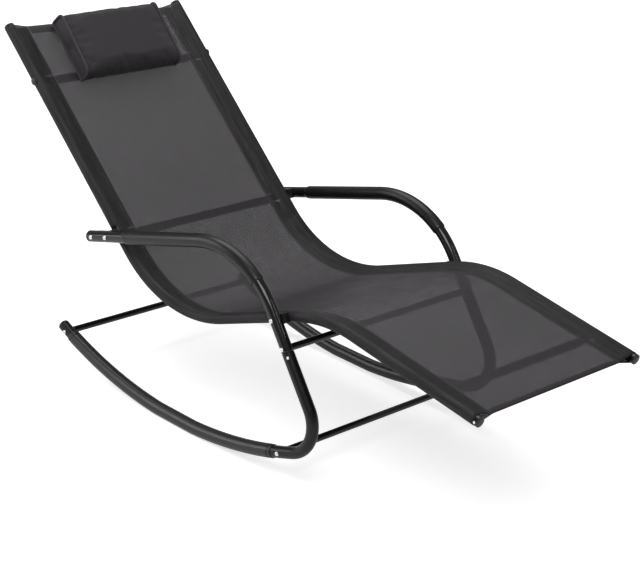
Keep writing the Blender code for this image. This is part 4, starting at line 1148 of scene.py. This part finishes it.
def head_pillow():
    """Filled pillow with piping, and stitches in a groove beside it."""
    section = section_outline(PILLOW_CORNERS, PILLOW_STEP)
    work, columns = pillow_skin(section)
    item = piece("head_pillow_filled", work, PILLOW, "pillow", "head_pillow")
    # The second slot holds the lighter cloth of the end panels: painted light
    item.data.materials.append(LIT_PIPING_AND_ENDS)
    flat_side = [k for k, (_, level) in enumerate(section) if level < PILLOW_BACK + 0.0008]
    front = [k for k in range(len(section)) if k not in flat_side]
    pinned = columns[0] + columns[-1] + [column[k] for column in columns for k in flat_side]
    filled(item, sorted(set(pinned)))
    for row in (columns[1], columns[-2]):
        for k in front:
            if section[k][1] > PILLOW_GROOVE_ABOVE:
                item.data.vertices[row[k]].co -= item.data.vertices[row[k]].normal * PILLOW_GROOVE
    smoothed(item.data, radians(60))
    places = [vert.co.copy() for vert in item.data.vertices]
    ways = [vert.normal.copy() for vert in item.data.vertices]
    round_off = item.modifiers.new("round", "SUBSURF")
    round_off.levels = 1
    round_off.render_levels = 1
    off_back = on_back(0, 0, 1) - on_back(0, 0, 0)
    for (name, x), seam, row in zip(SIDES, (columns[0], columns[-1]), (columns[1], columns[-2])):
        edge = []
        for index, (_, level) in zip(seam, section):
            lift = max(0, PILLOW_BACK + PIPING_RADIUS * 1.6 - level)
            out = (ways[index] + outward(x)).normalized()
            edge.append(places[index] + out * PIPING_RADIUS * 0.6 + off_back * lift)
        piping(f"pillow_{name}_piping", edge)
        line, line_ways = [[values[row[k]] for k in front] for values in (places, ways)]
        running = lengths(line)
        stitches(f"pillow_{name}_stitches",
                 lambda at: (between(line, running, at), between(line_ways, running, at).normalized()),
                 0.002, running[-1] - 0.002, "pillow", surface=SEAM_THREAD, thick=0.0009)


def pillow_flap():
    """Cloth flap that hooks over the head hem and hangs behind the sheet."""
    profile = curve_through([Vector(point) for point in FLAP_POINTS], 7)
    running = lengths([point[:2] for point in profile])
    columns = spaced(-FLAP_WIDTH / 2, FLAP_WIDTH / 2, 24)
    end = running[-1]
    hem_gap = 0.0002

    def on_flap(x, distance, lift=0):
        along, level, weight = between(profile, running, distance)
        return on_back(x, along + HEAD_DIP * (1 - (x / RAIL_X) ** 2) * weight, level + lift)

    def across_hem(x):
        row = end - FLAP_HEM + 0.003
        point = on_flap(x, row, -FLAP_VISIBLE * 1.5 - hem_gap)
        return point, (point - on_flap(x, row)).normalized()

    flap = cloth_piece("pillow_flap_cloth", on_flap, columns, running, PILLOW, "pillow", "pillow_flap",
                       FLAP_VISIBLE)
    hem_rows = [end - FLAP_HEM, end - FLAP_HEM / 2, end - 0.0004]
    hem = cloth_piece("pillow_flap_hem", lambda x, at: on_flap(x, at, -FLAP_VISIBLE - hem_gap), columns,
                      hem_rows, PILLOW, "pillow", thickness=FLAP_VISIBLE)
    edge = FLAP_WIDTH / 2 - 0.004
    row = stitches("pillow_flap_stitches", across_hem, -edge, edge, "pillow", 0.0046)


# Build the pieces

for side, x in SIDES:
    for build in (rails, frames, rocker_sleeve, arm_grip, fasteners, snap_button, snap_spring, plugs):
        build(side, x)

for name, distance in CROSSBARS.items():
    crossbar(name + "_crossbar", distance)
for name, distance in SLING_BARS.items():
    sling_bar(name + "_sling_bar", distance)

sheet, sheet_flat = sling()
sheet_extras = hems() + seam_stitches()

head_pillow()
pillow_flap()

# Solids that are shown as they are
for name, surface in (("arm_bracket", PLASTIC), ("seat_spacer", PLASTIC), ("arm_nut", ZINC),
                      ("seat_nut", ZINC), ("foot_bar_pin", ZINC)):
    for side, _ in SIDES:
        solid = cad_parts[side + "_" + name]
        solid.data.materials.clear()
        solid.data.materials.append(surface)


# Camera at the photograph's angle, with its tilt, roll and heading in degrees
CAMERA_PLACE = (-3.10175, -2.87230, 1.99368)
CAMERA_TURN = (68.05404, -5.34462, -45.8154)

camera_data = bpy.data.cameras.new("camera")
camera_data.sensor_fit = "HORIZONTAL"
camera_data.sensor_width = 36
camera_data.lens = 107.65
camera = linked("camera", camera_data)
camera.location = CAMERA_PLACE
camera.rotation_euler = [radians(angle) for angle in CAMERA_TURN]
scene.camera = camera

# Lamps as (name, place, aim, size, power in watts)
LAMPS = (("key", (-2.4, -1.5, 3.1), (0, 0, 0.3), (1.9, 1.9), 60),
         ("top", (0.2, 1.1, 3.3), (0, 0, 0.3), (2.6, 2.6), 64),
         ("side", (-2, 2.1, 1.3), (0, 0, 0.4), (1.2, 1.8), 25),
         ("strip", (0.75, -3.2, 2.75), (0, -0.2, 0.4), (0.12, 1.6), 11))

for name, place, aim, size, power in LAMPS:
    lamp = bpy.data.lights.new(name, "AREA")
    lamp.shape = "RECTANGLE"
    lamp.size, lamp.size_y = size
    lamp.energy = power
    item = linked(name, lamp)
    item.location = place
    item.rotation_euler = (Vector(aim) - Vector(place)).to_track_quat("-Z", "Y").to_euler()


# White surroundings and floor

def background_share(nodes, glossy):
    """1 where the background is seen directly or through cloth, less in reflections."""
    camera_ray, through, mirrored = (nodes.add("LightPath", {}, f"Is {kind} Ray")
                                     for kind in ("Camera", "Transmission", "Glossy"))
    seen = nodes.math("MAXIMUM", camera_ray, through)
    return nodes.math("MAXIMUM", seen, nodes.math("MULTIPLY", mirrored, glossy))


def emptied(tree):
    tree.nodes.clear()
    return Nodes(tree)


WORLD_LIGHT = 0.2
FLOOR_GLOW = 0.69
FLOOR_COLOUR = (0.80, 0.80, 0.80)
FLOOR_HALF = 30
WHITE = (1, 1, 1)

world = bpy.data.worlds.new("studio")
scene.world = world
world.use_nodes = True
sky = emptied(world.node_tree)
strength = sky.ranged(background_share(sky, 0.12), 0, 1, WORLD_LIGHT, 1)
sky.add("OutputWorld", {0: sky.add("Background", {"Color": WHITE, "Strength": strength})})

floor_work = bmesh.new()
bmesh.ops.create_grid(floor_work, x_segments=1, y_segments=1, size=FLOOR_HALF)
floor = meshed("floor", floor_work)
floor_look = bpy.data.materials.new("floor")
floor_look.use_nodes = True
ground = emptied(floor_look.node_tree)
away = ground.add("VectorMath", {0: ground.where()}, "Value", operation="LENGTH")
spread = ground.ranged(away, 1.2, 3, FLOOR_GLOW, 1)
glow = ground.math("MULTIPLY", background_share(ground, 0.4), spread)
paper = ground.add("BsdfDiffuse", {"Color": FLOOR_COLOUR})
bright = ground.add("Emission", {"Color": WHITE, "Strength": glow})
ground.add("OutputMaterial", {0: ground.add("AddShader", {0: paper, 1: bright})})
floor.data.materials.append(floor_look)

scene.view_settings.view_transform = "Standard"
